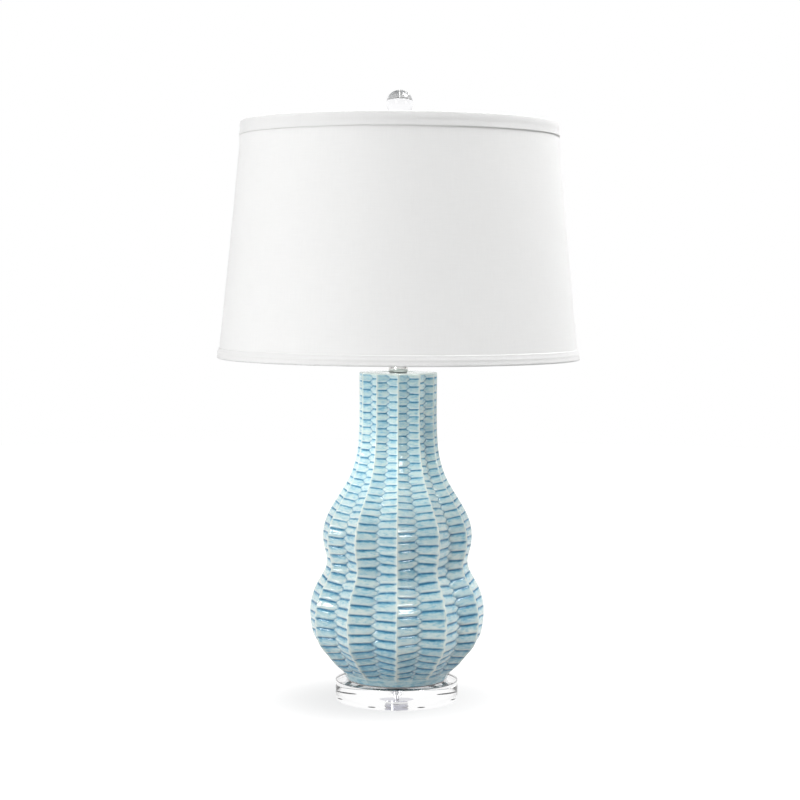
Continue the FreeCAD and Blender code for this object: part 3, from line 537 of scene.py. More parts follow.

    # Colour: glaze pools blue in the carving, washes the upper part of each tongue, thins to cream
    # on the ribs and over the lips; a painted highlight runs along the tongue borders and the neck gets
    # painted light
    off_rib = smooth(0.2 * size, 1.4 * size, from_rib)
    line = soft_least(sharp, u_after, u_before)
    tips = 0.62 * peak(from_border, 0.95 * size)
    core = np.maximum(peak(line, 1.25 * size), tips) * (0.95 + 0.10 * jitter[..., 2])
    wash = np.exp(-np.maximum(0.0, u_after - 0.6 * size) / (2.2 * size))
    wash = (0.44 + 0.10 * jitter[..., 4]) * wash * start
    skirt = 0.16 * peak(outline, 2.6 * size)
    weaker = 0.80 + 0.20 * smooth(150.0, 250.0, D)
    veil = (0.20 + 0.16 * smooth(310.0, 370.0, D)) * start * (1 - smooth(2.0, 0.4, u_before / size))
    clear = (1 - core * off_rib * weaker) * (1 - wash * weaker) * (1 - skirt * start) * (1 - veil)
    pool = (1 - clear) * carve
    tone = 0.5 + 0.17 * above[..., 3] * np.sin(math.pi * phase) ** 0.5
    lower_lip = peak(u_before - 2.1 * size, 1.0 * size) * smooth(0.3, 1.6, from_border)
    tip_lip = 0.8 * peak(from_border - 1.5 * size, 0.7 * size)
    tip_lip = tip_lip * smooth(1.2, 2.4, u_after / size) * smooth(0.8, 2.0, u_before / size)
    edge = np.maximum(lower_lip, tip_lip) * start * (1 + 0.35 * jitter[..., 3])
    rib_line = peak(from_rib, 2.4 * size, 4) * (1 - 0.35 * smooth(200.0, 300.0, D))
    # Painted highlight: a narrow whitish line along the border between facing tongues stands in for the
    # glints that edge catches
    seam = 0.22 * peak(from_border, 0.35 * size)
    cream_and_painted_light = np.clip(0.50 * rib_line + 0.75 * edge + seam, 0, 1)
    cream_and_painted_light = cream_and_painted_light * carve + (1 - carve) * smooth(12.0, 0.0, D) * 0.7
    # Painted light: the neck, which the shade shadows, gets a lighter glaze colour that fades out from 110
    # to 200 mm down the skin
    painted_neck_light = 1 - smooth(110.0, 200.0, D)
    # The plain band above the foot has one even tone
    band = smooth(full - 11.0, full - 8.0, D)
    pool = np.clip(pool, 0, 1) * (1 - band) + 0.34 * band

    # Close the mesh: foot ring and recess below, pipe hole and deck above
    recess_r, recess_h = FOOT_RECESS_MM
    bottom = [(recess_r + 1.0, 0.0), (recess_r, 0.8), (recess_r - 0.6, recess_h),
              (PIPE_HOLE_MM + 1.0, recess_h), (PIPE_HOLE_MM, recess_h + 1.0)]
    top = [(PIPE_HOLE_MM, BODY_HEIGHT_MM - 1.0), (PIPE_HOLE_MM + 1.0, BODY_HEIGHT_MM),
           (24.0, BODY_HEIGHT_MM), (38.0, BODY_HEIGHT_MM)]
    rings = [points]
    for group, edge_row in ((bottom, points[-1]), (top, points[0])):
        angles = np.arctan2(edge_row[:, 0], -edge_row[:, 1])
        rings += [around_axis(r, angles, h)[None] for r, h in group]
    everything = np.concatenate(rings)
    everything[..., 2] += FOOT_Z_MM
    extra = len(bottom) + len(top)
    faces = [tuple(reversed(f)) for f in grid_faces(rows + extra, columns, wrap_rows=True)]
    obj = new_object("glazed_gourd", everything.reshape(-1, 3) * MM, faces)

    # What the glaze reads: on the skin, then on the rings that close it
    bare = np.zeros((rows, columns))
    bare[-1] = 1.0
    # The deck's whitish share of 0.8 is partly the glaze running thin over the lip and partly painted light
    # for the deck that the shade shadows
    for name, skin_values, below_foot, above_lip in (
            ("pool", pool, 0.15, 0.15), ("cream_and_painted_light", cream_and_painted_light, 0.8, 0.8), ("bare", bare, 1.0, 0.0),
            ("tone", tone, 0.5, 0.5), ("painted_neck_light", painted_neck_light, 0.0, 1.0)):
        closing = np.repeat([below_foot, above_lip], [len(bottom), len(top)])
        store(obj, name, np.concatenate([skin_values, np.tile(closing[:, None], (1, columns))]))
    return obj


# Glaze colours by how deep it lies, what each tongue's own tone does to them, the colour of worn ribs and
# lips (also used for a painted highlight along the tongue borders), and how much lighter the neck is
# painted: painted light that makes up for the shade falling on it
GLAZE_BY_DEPTH = [
    (0.0, (0.625, 0.695, 0.655)), (0.20, (0.485, 0.620, 0.625)), (0.45, (0.225, 0.440, 0.540)),
    (0.75, (0.065, 0.240, 0.380)), (1.0, (0.024, 0.135, 0.250))]
TINT_BY_TONE = [(0.1, (0.84, 0.91, 0.95)), (0.5, (1.0, 1.0, 1.0)), (0.95, (1.10, 1.06, 1.02))]
CREAM = (0.680, 0.705, 0.660)
PAINTED_NECK_LIFT = (1.40, 1.46, 1.47)


def glaze_material():
    """Glossy celadon glaze: deep blue where it pools and whitish where it runs scant, with painted light on
    the neck and a painted highlight along the tongue borders.
    """
    mat, tree, shader, _ = new_material("glaze")
    read = {key: node(tree, "Attribute", attribute_name=key).outputs["Fac"]
            for key in ("pool", "cream_and_painted_light", "tone", "bare", "painted_neck_light")}
    cloud = noise(tree, 95.0, 4.0, 0.6)
    speck = noise(tree, 900.0, 3.0, 0.6)
    where = node(tree, "TexCoord").outputs["Object"]
    drawn = node(tree, "VectorMath", {0: where, 1: (120.0, 120.0, 420.0)}, operation="MULTIPLY").outputs[0]
    run = noise(tree, 1.0, 4.0, 0.65, drawn)
    drift = maths(tree, "ADD", spread(tree, cloud, -0.45, 0.45), spread(tree, run, -1.0, 1.0))
    depth = maths(tree, "ADD", read["pool"], times(tree, drift, 0.60))
    body = ramp(tree, depth, GLAZE_BY_DEPTH)
    light = ramp(tree, maths(tree, "ADD", read["tone"], drift), TINT_BY_TONE)
    body = blend_colour(tree, 1.0, body, light, "MULTIPLY")
    # Whitish where the glaze runs thin on ribs and lips, plus a painted highlight along the tongue borders
    # and painted light on the deck
    worn_and_painted_light = times(tree, read["cream_and_painted_light"], 0.85)
    body = blend_colour(tree, worn_and_painted_light, body, colour(CREAM))
    # Painted light: the neck's colour is lightened, fading out towards the belly
    neck_lit_colour = blend_colour(tree, 1.0, body, colour(PAINTED_NECK_LIFT), "MULTIPLY")
    body = blend_colour(tree, read["painted_neck_light"], body, neck_lit_colour)
    flecks = ramp(tree, speck, [(0.30, (0.93, 0.96, 0.97)), (0.62, (1.0, 1.0, 1.0))])
    body = blend_colour(tree, 0.7, body, flecks, "MULTIPLY")
    clay = ramp(tree, speck, [(0.3, (0.50, 0.36, 0.30)), (0.7, (0.62, 0.48, 0.41))])
    body = blend_colour(tree, read["bare"], body, clay)
    tree.links.new(body, shader.inputs["Base Color"])
    gloss = spread(tree, cloud, 0.04, 0.11)
    gloss = node(tree, "Mix", {0: read["bare"], 2: gloss, 3: 0.75}).outputs[0]
    tree.links.new(gloss, shader.inputs["Roughness"])
    shader.inputs["IOR"].default_value = 1.62
    ripple = maths(tree, "ADD", cloud, times(tree, speck, 0.12))
    bump(tree, shader, ripple, 0.00025)
    return mat


BUSH_TILT = math.radians(34.7)
BUSH_SEAT_MM = (80.6, 60.0, 0.6)
BUSH_BORE_MM = 3.25
BUSH_BARREL_MM = (4.9, 8.2)
BUSH_FLANGE_MM = (7.2, 1.8)


def bush_frame():
    """Matrix of the bush's seat on the rear hollow, with Z out of the sloping wall."""
    out = Vector((0.0, math.cos(BUSH_TILT), -math.sin(BUSH_TILT)))
    distance, height, sunk = BUSH_SEAT_MM
    seat = Vector((0.0, distance * MM, height * MM)) - out * sunk * MM
    return Matrix.Translation(seat) @ out.to_track_quat("Z", "Y").to_matrix().to_4x4()


def cut_cord_hole(obj):
    """Bore and spot face in the rear hollow for the cord bush."""
    depth, clear = 16.0, 8.0
    bore = BUSH_BARREL_MM[0] + 0.05
    face = BUSH_FLANGE_MM[0] + 0.4
    outline = [(0, -depth), (bore, -depth), (bore, 0.0), (face, 0.0), (face, clear), (0, clear)]
    cutter = lathe("cord_hole_cutter", outline, segments=48, closed=False, axis=bush_frame())
    modifier = obj.modifiers.new("cord_hole", "BOOLEAN")
    modifier.operation = "DIFFERENCE"
    modifier.object = cutter
    modifier.solver = "EXACT"
    evaluated = obj.evaluated_get(bpy.context.evaluated_depsgraph_get())
    mesh = bpy.data.meshes.new_from_object(evaluated)
    obj.modifiers.clear()
    obj.data = mesh
    bpy.data.objects.remove(cutter)


def build_bush():
    """Rubber bush in the cord hole: barrel, domed flange and a rounded bore."""
    barrel, length = BUSH_BARREL_MM
    flange, height = BUSH_FLANGE_MM
    outline = [(BUSH_BORE_MM, -length), (barrel, -length), (barrel, 0.0), (flange, 0.0), (flange, 1.0),
               (flange - 1.0, height), (BUSH_BORE_MM, height)]
    return lathe("cord_bush", rounded(outline, 0.5), segments=48, axis=bush_frame())


glaze = glaze_material()
gourd = place(build_body(), glaze, "root", "glaze_blue", "ceramic_body")
cut_cord_hole(gourd)


# Clear base

def clear_material(name, ior, tint=(1.0, 1.0, 1.0)):
    """Polished clear solid that bends what lies behind it and lets the lamps' light through."""
    mat, tree, shader, out = new_material(name)
    shader.inputs["Base Color"].default_value = colour(tint)
    shader.inputs["Transmission Weight"].default_value = 1.0
    shader.inputs["IOR"].default_value = ior
    polish = spread(tree, noise(tree, 60.0), 0.0, 0.012)
    tree.links.new(polish, shader.inputs["Roughness"])
    clear = node(tree, "BsdfTransparent", {"Color": colour((0.97, 0.97, 0.98))})
    path = node(tree, "LightPath")
    through = maths(tree, "MAXIMUM", path.outputs["Is Shadow Ray"], path.outputs["Is Diffuse Ray"])
    mixed = node(tree, "MixShader", {0: through, 1: shader.outputs[0], 2: clear.outputs[0]})
    tree.links.new(mixed.outputs[0], out.inputs["Surface"])
    return mat


def build_disc():
    """Clear disc with polished edges, the washer recess, bolt hole and coupling hole."""
    edge, low, high = box_mm(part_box("acrylic_base"))
    coupling, coupling_end, bolt, washer = 6.1, high - 15.5, 2.8, 14.2
    # The recess ends a hair below the washer's face, so that the washer shows wetted by the acrylic
    roof = low + 2.57
    middle = [(coupling, high), (coupling, coupling_end), (bolt, coupling_end), (bolt, roof),
              (washer, roof), (washer, low)]
    rim = rounded([(washer, low), (edge, low), (edge, high), (coupling, high)], 0.6, 5)
    rim = [p for p in rim if p[0] > edge / 2]
    return lathe("clear_disc", middle + rim, segments=256, sharp_angle=40.0)


def build_feet():
    """Six small domed bumpers under the disc."""
    low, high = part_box("base_feet")
    centre_r, radius = 52.0, 4.2
    height = (high.z - low.z) / MM + 0.04
    outline = [(0, 0), (radius - 1.3, 0), (radius - 0.5, 0.25), (radius, height - 0.25), (radius, height),
               (0, height)]
    parts = []
    for k in range(6):
        a = math.radians(30 + 60 * k)
        at = Matrix.Translation((centre_r * MM * math.sin(a), -centre_r * MM * math.cos(a), 0))
        parts.append(lathe("foot", outline, segments=32, closed=False, axis=at))
    return join("bumper_feet", parts)


acrylic = clear_material("clear_acrylic", 1.49)
rubber = plain_material("bumper_rubber", (0.045, 0.045, 0.05), 0.6, grain=900.0)
place(build_disc(), acrylic, "root", "clear_acrylic", "acrylic_base")
place(build_feet(), rubber, "root", "bumper_rubber", "base_feet")
black_rubber = plain_material("black_rubber", (0.03, 0.03, 0.032), 0.55, grain=900.0)
place(build_bush(), black_rubber, "root", "bumper_rubber", "cord_grommet")


# Metal and socket parts

def metal(name, base, roughness, rough_vary=0.05):
    """Plated or turned metal."""
    return plain_material(name, base, roughness, metallic=1.0, grain=700.0, vary=0.04, relief=0.00002,
                          rough_vary=rough_vary)


nickel = metal("nickel", (0.76, 0.75, 0.73), 0.07, rough_vary=0.03)
zinc = metal("zinc_steel", (0.62, 0.62, 0.64), 0.28)
bright_zinc = metal("bright_zinc", (0.50, 0.50, 0.56), 0.08, rough_vary=0.02)
brass = metal("brass", (0.78, 0.56, 0.25), 0.25)
aluminium = metal("aluminium", (0.80, 0.80, 0.80), 0.30)
white_wire = plain_material("white_wire", (0.82, 0.82, 0.80), 0.32, grain=500.0)
fibre = plain_material("fibre", (0.55, 0.42, 0.28), 0.8, grain=1200.0, vary=0.15)
moulding = plain_material("black_moulding", (0.025, 0.024, 0.023), 0.35, grain=700.0)
black_glass = plain_material("black_glass", (0.02, 0.02, 0.025), 0.08, grain=300.0, rough_vary=0.03)
gasket = plain_material("clear_gasket", (0.80, 0.80, 0.80), 0.35, grain=400.0, Transmission_Weight=0.6)


def build_neck():
    """Bright neck tube with softened edges."""
    r, bottom, top = box_mm(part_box("neck"))
    bore = 5.2
    outline = rounded([(bore, bottom), (r, bottom), (r, top), (bore, top)], 0.7)
    return lathe("nickel_neck", outline, segments=128)


def build_socket_sleeve():
    """Bright socket sleeve: two shallow rolled bands and a beaded mouth."""
    _, bottom, top = box_mm(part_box("socket_shell"))
    r, wall = 16.0, 0.6
    band_depth, band_half, band_steps = 0.45, 1.5, 9
    bead_proud, bead_drop, bead_steps = 0.9, 5.0, 12
    outer = [(r, bottom + 0.3)]
    for middle in (bottom + 4.0, bottom + 30.0):
        for u in np.linspace(-1.0, 1.0, band_steps):
            outer.append((r - band_depth * math.cos(u * math.pi / 2) ** 2, middle + band_half * u))
    for k in range(bead_steps + 1):
        a = math.pi * (k / bead_steps)
        outer.append((r + 0.1 + bead_proud * math.sin(a), top - bead_drop + 3.2 * k / bead_steps))
    outer += [(r + 0.3, top - 1.2), (r + 0.9, top - 0.3), (r + 0.6, top), (r - 0.1, top - 0.2)]
    inner = [(radius - wall, height) for radius, height in reversed(outer[:-3])]
    return lathe("socket_sleeve", outer + inner)


def build_screw_cap():
    """Bulb cap with a rolled thread of a real pitch, closed at its lower end."""
    _, bottom, top = box_mm(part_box("bulb_cap"))
    r, pitch, half_depth, wall = 13.0, 3.629, 0.42, 0.6
    foot_r, foot_height = 9.4, 2.4
    segments, rows = 72, 110
    points = []
    for i in range(rows):
        height = bottom + foot_height + (top - bottom - foot_height) * i / (rows - 1)
        on = float(smooth(bottom + 2.6, bottom + 5.0, height) * (1 - smooth(top - 6.5, top - 4.0, height)))
        for j in range(segments):
            a = TURN * j / segments
            wave = math.cos(TURN * (height / pitch - j / segments))
            radius = r - half_depth * on * (1 - wave)
            points.append((radius * MM * math.sin(a), -radius * MM * math.cos(a), height * MM))
    faces = grid_faces(rows, segments)
    # Close the lower end with a cone and a flat, and turn the rim in at the top
    rim = (rows - 1) * segments
    foot = len(points)
    points += level_ring(foot_r, bottom, segments)
    pole = len(points)
    points.append((0.0, 0.0, bottom * MM))
    inner = len(points)
    points += level_ring(r - wall, top - 0.4, segments)
    pairs = [(j, (j + 1) % segments) for j in range(segments)]
    faces += [(foot + j, foot + k, k, j) for j, k in pairs]
    faces += [(pole, foot + k, foot + j) for j, k in pairs]
    faces += [(rim + j, rim + k, inner + k, inner + j) for j, k in pairs]
    return new_object("bulb_screw_cap", points, faces, 50.0)


def build_bulb():
    """Round frosted envelope that narrows smoothly to its neck."""
    _, bottom, top = box_mm(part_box("bulb_globe"))
    r, neck_r, glass, neck_height = 30.0, 13.2, 1.0, 6.0
    neck_steps, globe_steps = 12, 32
    centre = top - r
    corner = np.array([neck_r, bottom + neck_height])
    # The straight line from the neck touches the globe at this bearing from its lowest point
    drop = centre - corner[1]
    bearing = math.atan2(neck_r, drop) + math.acos(r / math.hypot(neck_r, drop))
    tangent = np.array([r * math.sin(bearing), centre - r * math.cos(bearing)])
    outer = [(neck_r, bottom), (neck_r, corner[1] - 1.0)]
    for k in range(1, neck_steps):
        u = k / neck_steps
        ease = u - 0.10 * math.sin(TURN * u) / TURN
        outer.append(tuple(corner + (tangent - corner) * ease))
    for k in range(globe_steps + 1):
        a = bearing + (math.pi - bearing) * k / globe_steps
        outer.append((max(0.0, r * math.sin(a)), centre - r * math.cos(a)))
    outer[-1] = (0.0, top)
    inner = [(max(0.0, radius - glass), height) for radius, height in reversed(outer[:-1])]
    inner[-1] = (neck_r - glass, bottom)
    return lathe("bulb_glass", outer + inner, sharp_angle=60.0)


place(build_neck(), nickel, "root", "nickel", "neck")
place(build_socket_sleeve(), nickel, "root", "nickel", "socket_shell")
place(build_screw_cap(), aluminium, "bulb", "aluminium", "bulb_cap")
frost = plain_material("frosted_glass", (0.88, 0.88, 0.86), 0.45, grain=900.0, vary=0.02,
                       Subsurface_Weight=0.3)
place(build_bulb(), frost, "bulb", "frosted_glass", "bulb_globe")

for names, mat in (
        ("base_washer", bright_zinc),
        ("base_bolt base_coupling lamp_pipe pipe_nut", zinc),
        ("base_gasket top_gasket", gasket),
        ("harp_saddle harp_wire harp_sleeve_left harp_sleeve_right harp_stud socket_cap "
         "socket_set_screw", nickel),
        ("socket_liner", fibre),
        ("socket_insulator switch_key", moulding),
        ("terminal_screws socket_screw_shell socket_contact switch_shaft", brass),
        ("bulb_contact", black_glass),
        ("spider_hub spider_arms shade_top_ring shade_bottom_ring", white_wire)):
    for name in names.split():
        dress_node(name, mat)


# Shade

SHADE_BOTTOM_MM = 410.4
SHADE_TOP_MM = 688.4
SHADE_R_BOTTOM_MM = 213.8
SHADE_R_TOP_MM = 186.6
SHADE_BOW_MM = 1.0
FABRIC_MM = 0.6
LINER_MM = 0.5
TAPE_MM = 0.6
RING_WIRE_MM = 1.6
RING_CLEARANCE_MM = 0.1
SEAM_HALF_WIDTH = math.radians(1.5)
CLOTH_RADIUS_MM = 200.0


def wall_radius(height):
    """Outer radius of the fabric in mm: a cone drawn in a little at mid height."""
    middle = (SHADE_TOP_MM + SHADE_BOTTOM_MM) / 2.0
    half = (SHADE_TOP_MM - SHADE_BOTTOM_MM) / 2.0
    u = (height - middle) / half
    cone = (SHADE_R_TOP_MM + SHADE_R_BOTTOM_MM) / 2.0 + u * (SHADE_R_TOP_MM - SHADE_R_BOTTOM_MM) / 2.0
    return cone - SHADE_BOW_MM * (1.0 - u * u)


def shade_angles():
    """Azimuths round the shade, closer together at the lap seam behind."""
    even = np.linspace(0, TURN, 288, endpoint=False)
    near = math.pi + np.linspace(-1.6, 1.6, 15) * SEAM_HALF_WIDTH
    keep = even[np.abs(even - math.pi) > 1.8 * SEAM_HALF_WIDTH]
    return np.sort(np.concatenate([keep, near]))


def lay_cloth(obj, angles, along_mm):
    """Map of real lengths round and along a closed wall of cloth, row by row, for its weave."""
    layer = obj.data.uv_layers.new(name="cloth")
    loops = np.zeros(len(obj.data.loops), np.int32)
    obj.data.loops.foreach_get("vertex_index", loops)
    u = np.tile(angles * CLOTH_RADIUS_MM * MM, (len(along_mm), 1)).ravel()
    v = np.repeat(np.asarray(along_mm) * MM, len(angles))
    quads = np.stack([u[loops], v[loops]], -1).reshape(-1, 4, 2)
    # The last column joins the first, so its far side goes on past a full turn
    whole = TURN * CLOTH_RADIUS_MM * MM
    wide = (quads[..., 0].max(1) - quads[..., 0].min(1)) > whole / 2
    quads[..., 0] += np.where(wide[:, None] & (quads[..., 0] < whole / 2), whole, 0.0)
    layer.data.foreach_set("uv", quads.astype(np.float32).ravel())


def tube_wall(name, inset, thickness, rows, lap):
    """Thin closed wall of the shade between its rims; lap is the seam's extra thickness in mm."""
    angles = shade_angles()
    low = SHADE_BOTTOM_MM + TAPE_MM
    high = SHADE_TOP_MM - TAPE_MM
    heights = np.linspace(low, high, rows)
    d = (angles - math.pi) / SEAM_HALF_WIDTH
    seam = lap * smooth(-1.15, -0.95, d) * (1 - smooth(0.95, 1.3, d))
    waves = sum(0.07 * np.sin(k * angles + 1.7 * k) for k in (3, 5, 8, 13))
    outer = []
    inner = []
    for height in heights:
        lean = math.sin(math.pi * (height - low) / (high - low))
        r = wall_radius(height) - inset + waves * lean
        outer.append(around_axis(r + seam, angles, height))
        inner.append(around_axis(r - thickness, angles, height))
    faces = grid_faces(2 * rows, len(angles), wrap_rows=True)
    obj = new_object(name, np.concatenate(outer + inner[::-1]) * MM, faces, 50.0)
    lay_cloth(obj, angles, np.concatenate([heights, heights[::-1]]))
    return obj


def cloth_material(name, base, thread_mm, through, relief, vary):
    """Plain weave: warp and weft threads as relief, slubs as streaks, and light let through."""
    mat, tree, shader, _ = new_material(name)
    uv = node(tree, "UVMap", uv_map="cloth").outputs[0]
    wobble = times(tree, noise(tree, 260.0, 2.0), 2.5)
    split = node(tree, "SeparateXYZ", {0: uv})
    per_metre = TURN / (thread_mm * MM)
    threads = [maths(tree, "SINE", maths(tree, "MULTIPLY_ADD", split.outputs[axis], per_metre, wobble))
               for axis in (0, 1)]
    weave = times(tree, *threads)
    streaks = []
    for stretch in ((900.0, 40.0, 1.0), (40.0, 900.0, 1.0)):
        scaled = node(tree, "VectorMath", {0: uv, 1: stretch}, operation="MULTIPLY").outputs[0]
        streaks.append(noise(tree, 1.0, 3.0, 0.6, scaled))
    slub = times(tree, maths(tree, "ADD", *streaks), 0.5)
    dark = tuple(c * (1 - vary) for c in base)
    light = tuple(min(1.0, c * (1 + vary)) for c in base)
    tint = ramp(tree, slub, [(0.30, dark), (0.5, base), (0.72, light)])
    tree.links.new(tint, shader.inputs["Base Color"])
    tree.links.new(spread(tree, slub, 0.72, 0.92), shader.inputs["Roughness"])
    shader.inputs["Sheen Weight"].default_value = 0.15
    shader.inputs["Specular IOR Level"].default_value = 0.3
    height = maths(tree, "ADD", times(tree, weave, 0.5), times(tree, slub, 1.5))
    bump(tree, shader, height, relief)
    let_light_through(mat, through, tint)
    return mat


def ring_centre(top):
    """Radius of the wire ring inside one rim, in mm."""
    step = TAPE_MM + RING_WIRE_MM + RING_CLEARANCE_MM
    height = SHADE_TOP_MM - step if top else SHADE_BOTTOM_MM + step
    return wall_radius(height) - FABRIC_MM - LINER_MM - RING_WIRE_MM - 0.25


def build_tape(name, top, height_mm, proud_mm, inner_mm):
    """Bias tape folded over one rim: a strip of cloth with small puckers along its edges."""
    rim = SHADE_TOP_MM if top else SHADE_BOTTOM_MM
    turn = -1.0 if top else 1.0
    end = rim + turn * height_mm
    middle = (rim + end) / 2.0
    inner_r = ring_centre(top) - RING_WIRE_MM - RING_CLEARANCE_MM - TAPE_MM
    back_r = inner_r + TAPE_MM
    corner = wall_radius(rim) + proud_mm - 0.2
    crown = wall_radius(middle) + proud_mm - 0.25
    edge = wall_radius(end)

    def at(depth):
        """Height that lies this deep from the rim."""
        return rim + turn * depth

    # Outer face from the free edge over the rim to the inner free edge: radius, height in mm and
    # the share of the puckers that reaches it
    face = [
        (edge + 0.30, end, 1.0), (edge + 0.78, end - turn * 0.25, 1.0), (edge + 1.00, end - turn, 1.0),
        (edge + 0.92, end - turn * 2.2, 0.8), (crown - 0.05, rim * 0.35 + end * 0.65, 0.4),
        (crown, middle, 0.3), (crown + 0.05, rim * 0.7 + end * 0.3, 0.4), (corner + 0.1, at(1.9), 0.5),
        (corner, at(0.9), 0.4), (corner - 0.45, at(0.28), 0.3), (corner - 1.2, rim, 0.2),
        ((corner + inner_r) / 2.0, at(0.12), 0.2), (inner_r + 1.0, rim, 0.3),
        (inner_r + 0.3, at(0.3), 0.5), (inner_r, at(1.0), 0.7), (inner_r, at(3.5), 0.8),
        (inner_r, at(inner_mm), 1.0)]
    back = [
        (back_r, at(inner_mm), 0.0), (back_r, at(3.5), 0.0), (back_r, at(TAPE_MM), 0.0),
        (wall_radius(rim) + 0.05, at(TAPE_MM), 0.0), (wall_radius(at(3.0)) + 0.05, at(3.0), 0.0),
        (wall_radius(middle) + 0.05, middle, 0.0), (edge + 0.05, end, 0.0)]
    section = face + back
    count = 360
    angles = np.linspace(0, TURN, count, endpoint=False)
    seed = np.random.default_rng(5 if top else 6)
    pucker = sum(0.05 * np.sin(k * angles + seed.uniform(0, TURN)) for k in (41, 67, 97, 131))
    sag = sum(0.06 * np.sin(k * angles + seed.uniform(0, TURN)) for k in (2, 5, 11, 17))
    # Only the free edge on the outside wanders up and down
    points = []
    for radius, height, weight in section:
        free = abs(height - end) < 2.5
        points.append(around_axis(radius + pucker * weight, angles, height + sag * free))
    faces = grid_faces(len(section), count, wrap_rows=True)
    if not top:
        faces = [tuple(reversed(f)) for f in faces]
    obj = new_object(name, np.concatenate(points) * MM, faces, 60.0)
    steps = [math.dist(a[:2], b[:2]) for a, b in zip(section, section[1:])]
    lay_cloth(obj, angles, np.concatenate([[0.0], np.cumsum(steps)]))
    return obj


linen = cloth_material("shade_linen", (0.91, 0.91, 0.905), 0.62, 0.30, 0.00010, 0.025)
tape_cloth = cloth_material("shade_tape", (0.79, 0.79, 0.785), 0.50, 0.12, 0.00010, 0.02)
STYRENE_TINT = (0.84, 0.84, 0.84)
styrene = plain_material("styrene", STYRENE_TINT, 0.45, grain=500.0, vary=0.01)
let_light_through(styrene, 0.45, colour(STYRENE_TINT))

linen_wall = place(tube_wall("linen_wall", 0.0, FABRIC_MM, 40, 0.5), linen, "shade", "shade_linen",
                   "shade_fabric")
place(tube_wall("styrene_wall", FABRIC_MM, LINER_MM, 24, 0.0), styrene, "shade", "styrene", "shade_liner")
top_tape = place(build_tape("top_tape", True, 16.5, 1.3, 7.0), tape_cloth, "shade", "shade_tape",
                 "shade_top_tape")
bottom_tape = place(build_tape("bottom_tape", False, 12.5, 1.9, 7.0), tape_cloth, "shade", "shade_tape",
                    "shade_bottom_tape")


# Finial

def build_ferrule():
    """Turned ferrule with rounded beads and its threaded hole."""
    _, z, top = box_mm(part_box("finial_base"))
    bore, bore_end = 3.2, z + 8.1
    side = [(bore, z), (8.6, z), (9.0, z + 0.5), (9.0, z + 2.2), (8.0, z + 3.0), (6.6, z + 3.8),
            (5.6, z + 5.8), (5.2, z + 8.2), (5.25, z + 10.2), (5.8, z + 12.0), (7.4, z + 13.6),
            (8.2, z + 14.6), (8.2, top)]
    outline = rounded(side + [(0, top), (0, bore_end), (bore, bore_end)], 0.35, 3)
    return lathe("finial_ferrule", outline, sharp_angle=50.0)


def build_ball():
    """Crystal ball with its small cemented flat."""
    _, flat, top = box_mm(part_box("finial_ball"))
    r, steps = 16.0, 64
    centre = top - r
    start = math.acos((centre - flat) / r)
    bearings = [start + (math.pi - start) * k / steps for k in range(steps)]
    outline = [(0.0, flat)] + [(r * math.sin(a), centre - r * math.cos(a)) for a in bearings]
    outline.append((0.0, top))
    return lathe("crystal_ball", outline, segments=128, closed=False, sharp_angle=50.0)


crystal = clear_material("crystal", 1.52, (0.99, 0.99, 1.0))
place(build_ferrule(), nickel, "finial_foot", "nickel", "finial_base")
place(build_ball(), crystal, "finial", "crystal", "finial_ball")


# Stage, lamps and camera

def any_ray(tree, *kinds):
    """1 for a ray of any of these kinds."""
    path = node(tree, "LightPath")
    seen = 0.0
    for kind in kinds:
        seen = maths(tree, "MAXIMUM", path.outputs["Is %s Ray" % kind], seen)
    return seen


def build_floor():
    """Pale floor that shows white around the lamp's own soft shadow, with a painted shadow: its glow is
    dimmer near the lamp.
    """
    sides = 96
    floor = new_object("floor", level_ring(3500.0, 0.0, sides), [tuple(range(sides))])
    mat, tree, shader, out = new_material("floor_white")
    tree.nodes.remove(shader)
    bounce = node(tree, "BsdfDiffuse", {"Color": colour((0.36, 0.36, 0.36))})
    catch = node(tree, "BsdfDiffuse", {"Color": colour((0.15, 0.15, 0.15))})
    where = node(tree, "TexCoord").outputs["Object"]
    away = node(tree, "VectorMath", {0: where}, operation="LENGTH").outputs["Value"]
    # Painted shadow: the glow is 0.74 within 0.07 m of the lamp's axis and rises to full white by 0.24 m
    level = soft_rise(tree, away, 0.07, 0.24, 0.74)
    glow = node(tree, "Emission", {"Color": colour((1, 1, 1)), "Strength": level})
    both = node(tree, "AddShader", {0: catch.outputs[0], 1: glow.outputs[0]})
    white = any_ray(tree, "Camera", "Transmission", "Glossy")
    mixed = node(tree, "MixShader", {0: white, 1: bounce.outputs[0], 2: both.outputs[0]})
    tree.links.new(mixed.outputs[0], out.inputs["Surface"])
    dress(floor, mat)


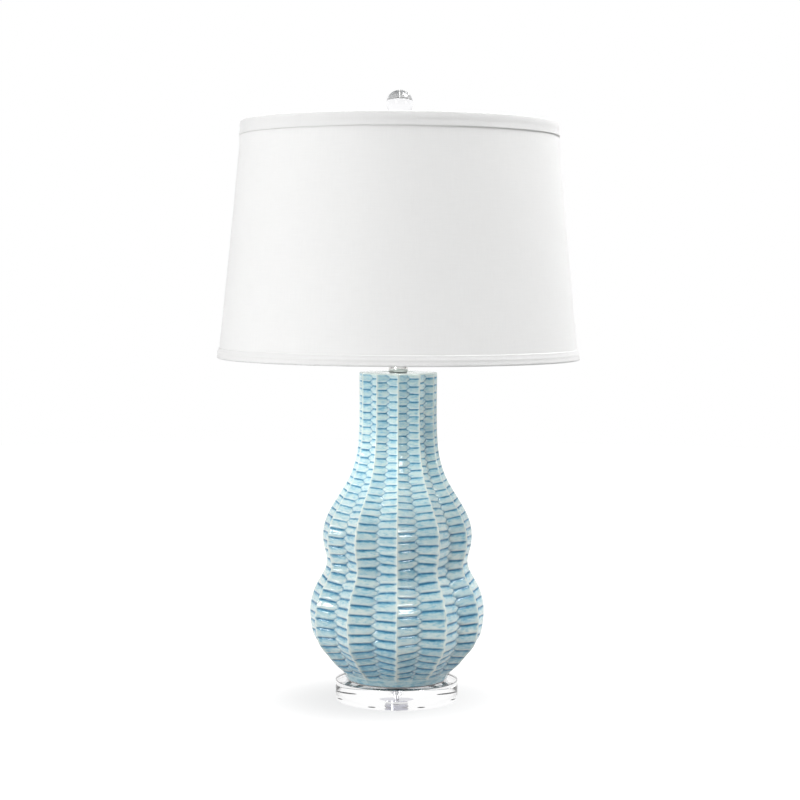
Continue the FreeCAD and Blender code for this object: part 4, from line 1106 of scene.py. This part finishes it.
def build_world():
    """White studio: bright at the left and high on the right, softer behind, dark at the camera."""
    world = bpy.data.worlds.new("studio")
    bpy.context.scene.world = world
    world.use_nodes = True
    tree = world.node_tree
    tree.nodes.clear()
    out = tree.nodes.new("ShaderNodeOutputWorld")
    direction = node(tree, "TexCoord").outputs["Generated"]
    x, y, z = node(tree, "SeparateXYZ", {0: direction}).outputs

    def rise(value, start, end):
        return soft_rise(tree, value, start, end)

    behind_level, left_level, right_level, mirrored_share = 0.32, 2.40, 2.95, 0.12
    behind = times(tree, rise(y, 0.0, 0.5), behind_level)
    beside = times(tree, rise(y, 0.5, 0.0), rise(y, -0.95, -0.25))
    left = times(tree, times(tree, rise(x, 0.0, -0.6), beside), left_level)
    right = times(tree, times(tree, rise(x, 0.0, 0.6), rise(z, 0.3, 0.6)), right_level)
    level = maths(tree, "ADD", maths(tree, "ADD", behind, left), right)
    # Metal and glaze mirror the white background behind the lamp, and dark flags elsewhere
    backdrop = times(tree, rise(z, 0.45, 0.3), rise(y, 0.0, 0.4))
    mirrored = maths(tree, "MULTIPLY_ADD", level, mirrored_share, backdrop)
    level = node(tree, "Mix", {0: any_ray(tree, "Glossy"), 2: level, 3: mirrored}).outputs[0]
    level = node(tree, "Mix", {0: any_ray(tree, "Camera", "Transmission"), 2: level, 3: 1.0}).outputs[0]
    sky = node(tree, "Background", {"Color": colour((1, 1, 1)), "Strength": level})
    tree.links.new(sky.outputs[0], out.inputs["Surface"])


def lamp(name, azimuth, elevation, distance, width, height, power, aim=0.25, sparkle=False):
    """Soft rectangular lamp round the object, facing its axis at a height.

    A sparkle shows only as a reflection in gloss and adds no light of its own."""
    data = bpy.data.lights.new(name, "AREA")
    data.shape = "RECTANGLE"
    data.size = width
    data.size_y = height
    data.energy = power
    a = math.radians(azimuth)
    e = math.radians(elevation)
    obj = linked(name, data)
    target = Vector((0.0, 0.0, aim))
    bearing = Vector((math.sin(a) * math.cos(e), -math.cos(a) * math.cos(e), math.sin(e)))
    obj.location = target + distance * bearing
    obj.rotation_mode = "QUATERNION"
    obj.rotation_quaternion = (target - obj.location).to_track_quat("-Z", "Y")
    obj.visible_camera = False
    obj.visible_diffuse = not sparkle


def build_camera():
    """Long lens a little above the lamp's middle."""
    data = bpy.data.cameras.new("camera")
    data.sensor_width = 36.0
    data.lens = 87.75
    data.clip_start = 0.05
    data.clip_end = 100.0
    camera = linked("camera", data)
    place_at = (0.0022, -2.3205, 0.5150)
    pitch = math.radians(3.81)
    roll = 0.0055
    turn = Matrix.Rotation(math.pi / 2 - pitch, 4, "X") @ Matrix.Rotation(roll, 4, "Z")
    camera.matrix_world = Matrix.Translation(place_at) @ turn
    bpy.context.scene.camera = camera


build_floor()
build_world()
build_camera()
# Azimuth and elevation in degrees, distance and size in metres, power in watts
lamp("key", -33, 15, 2.2, 0.35, 1.5, 19.5)
lamp("right_side", 75, 60, 2.0, 1.0, 1.0, 15, aim=0.5)
lamp("right_back", 100, 60, 2.0, 1.0, 1.0, 23, aim=0.5)
lamp("glint", 52, 19, 2.2, 0.6, 0.4, 12.0, sparkle=True)
lamp("left_glint", -77, 12, 2.2, 0.3, 0.3, 4.3, sparkle=True)
bpy.context.scene.view_settings.view_transform = "Standard"
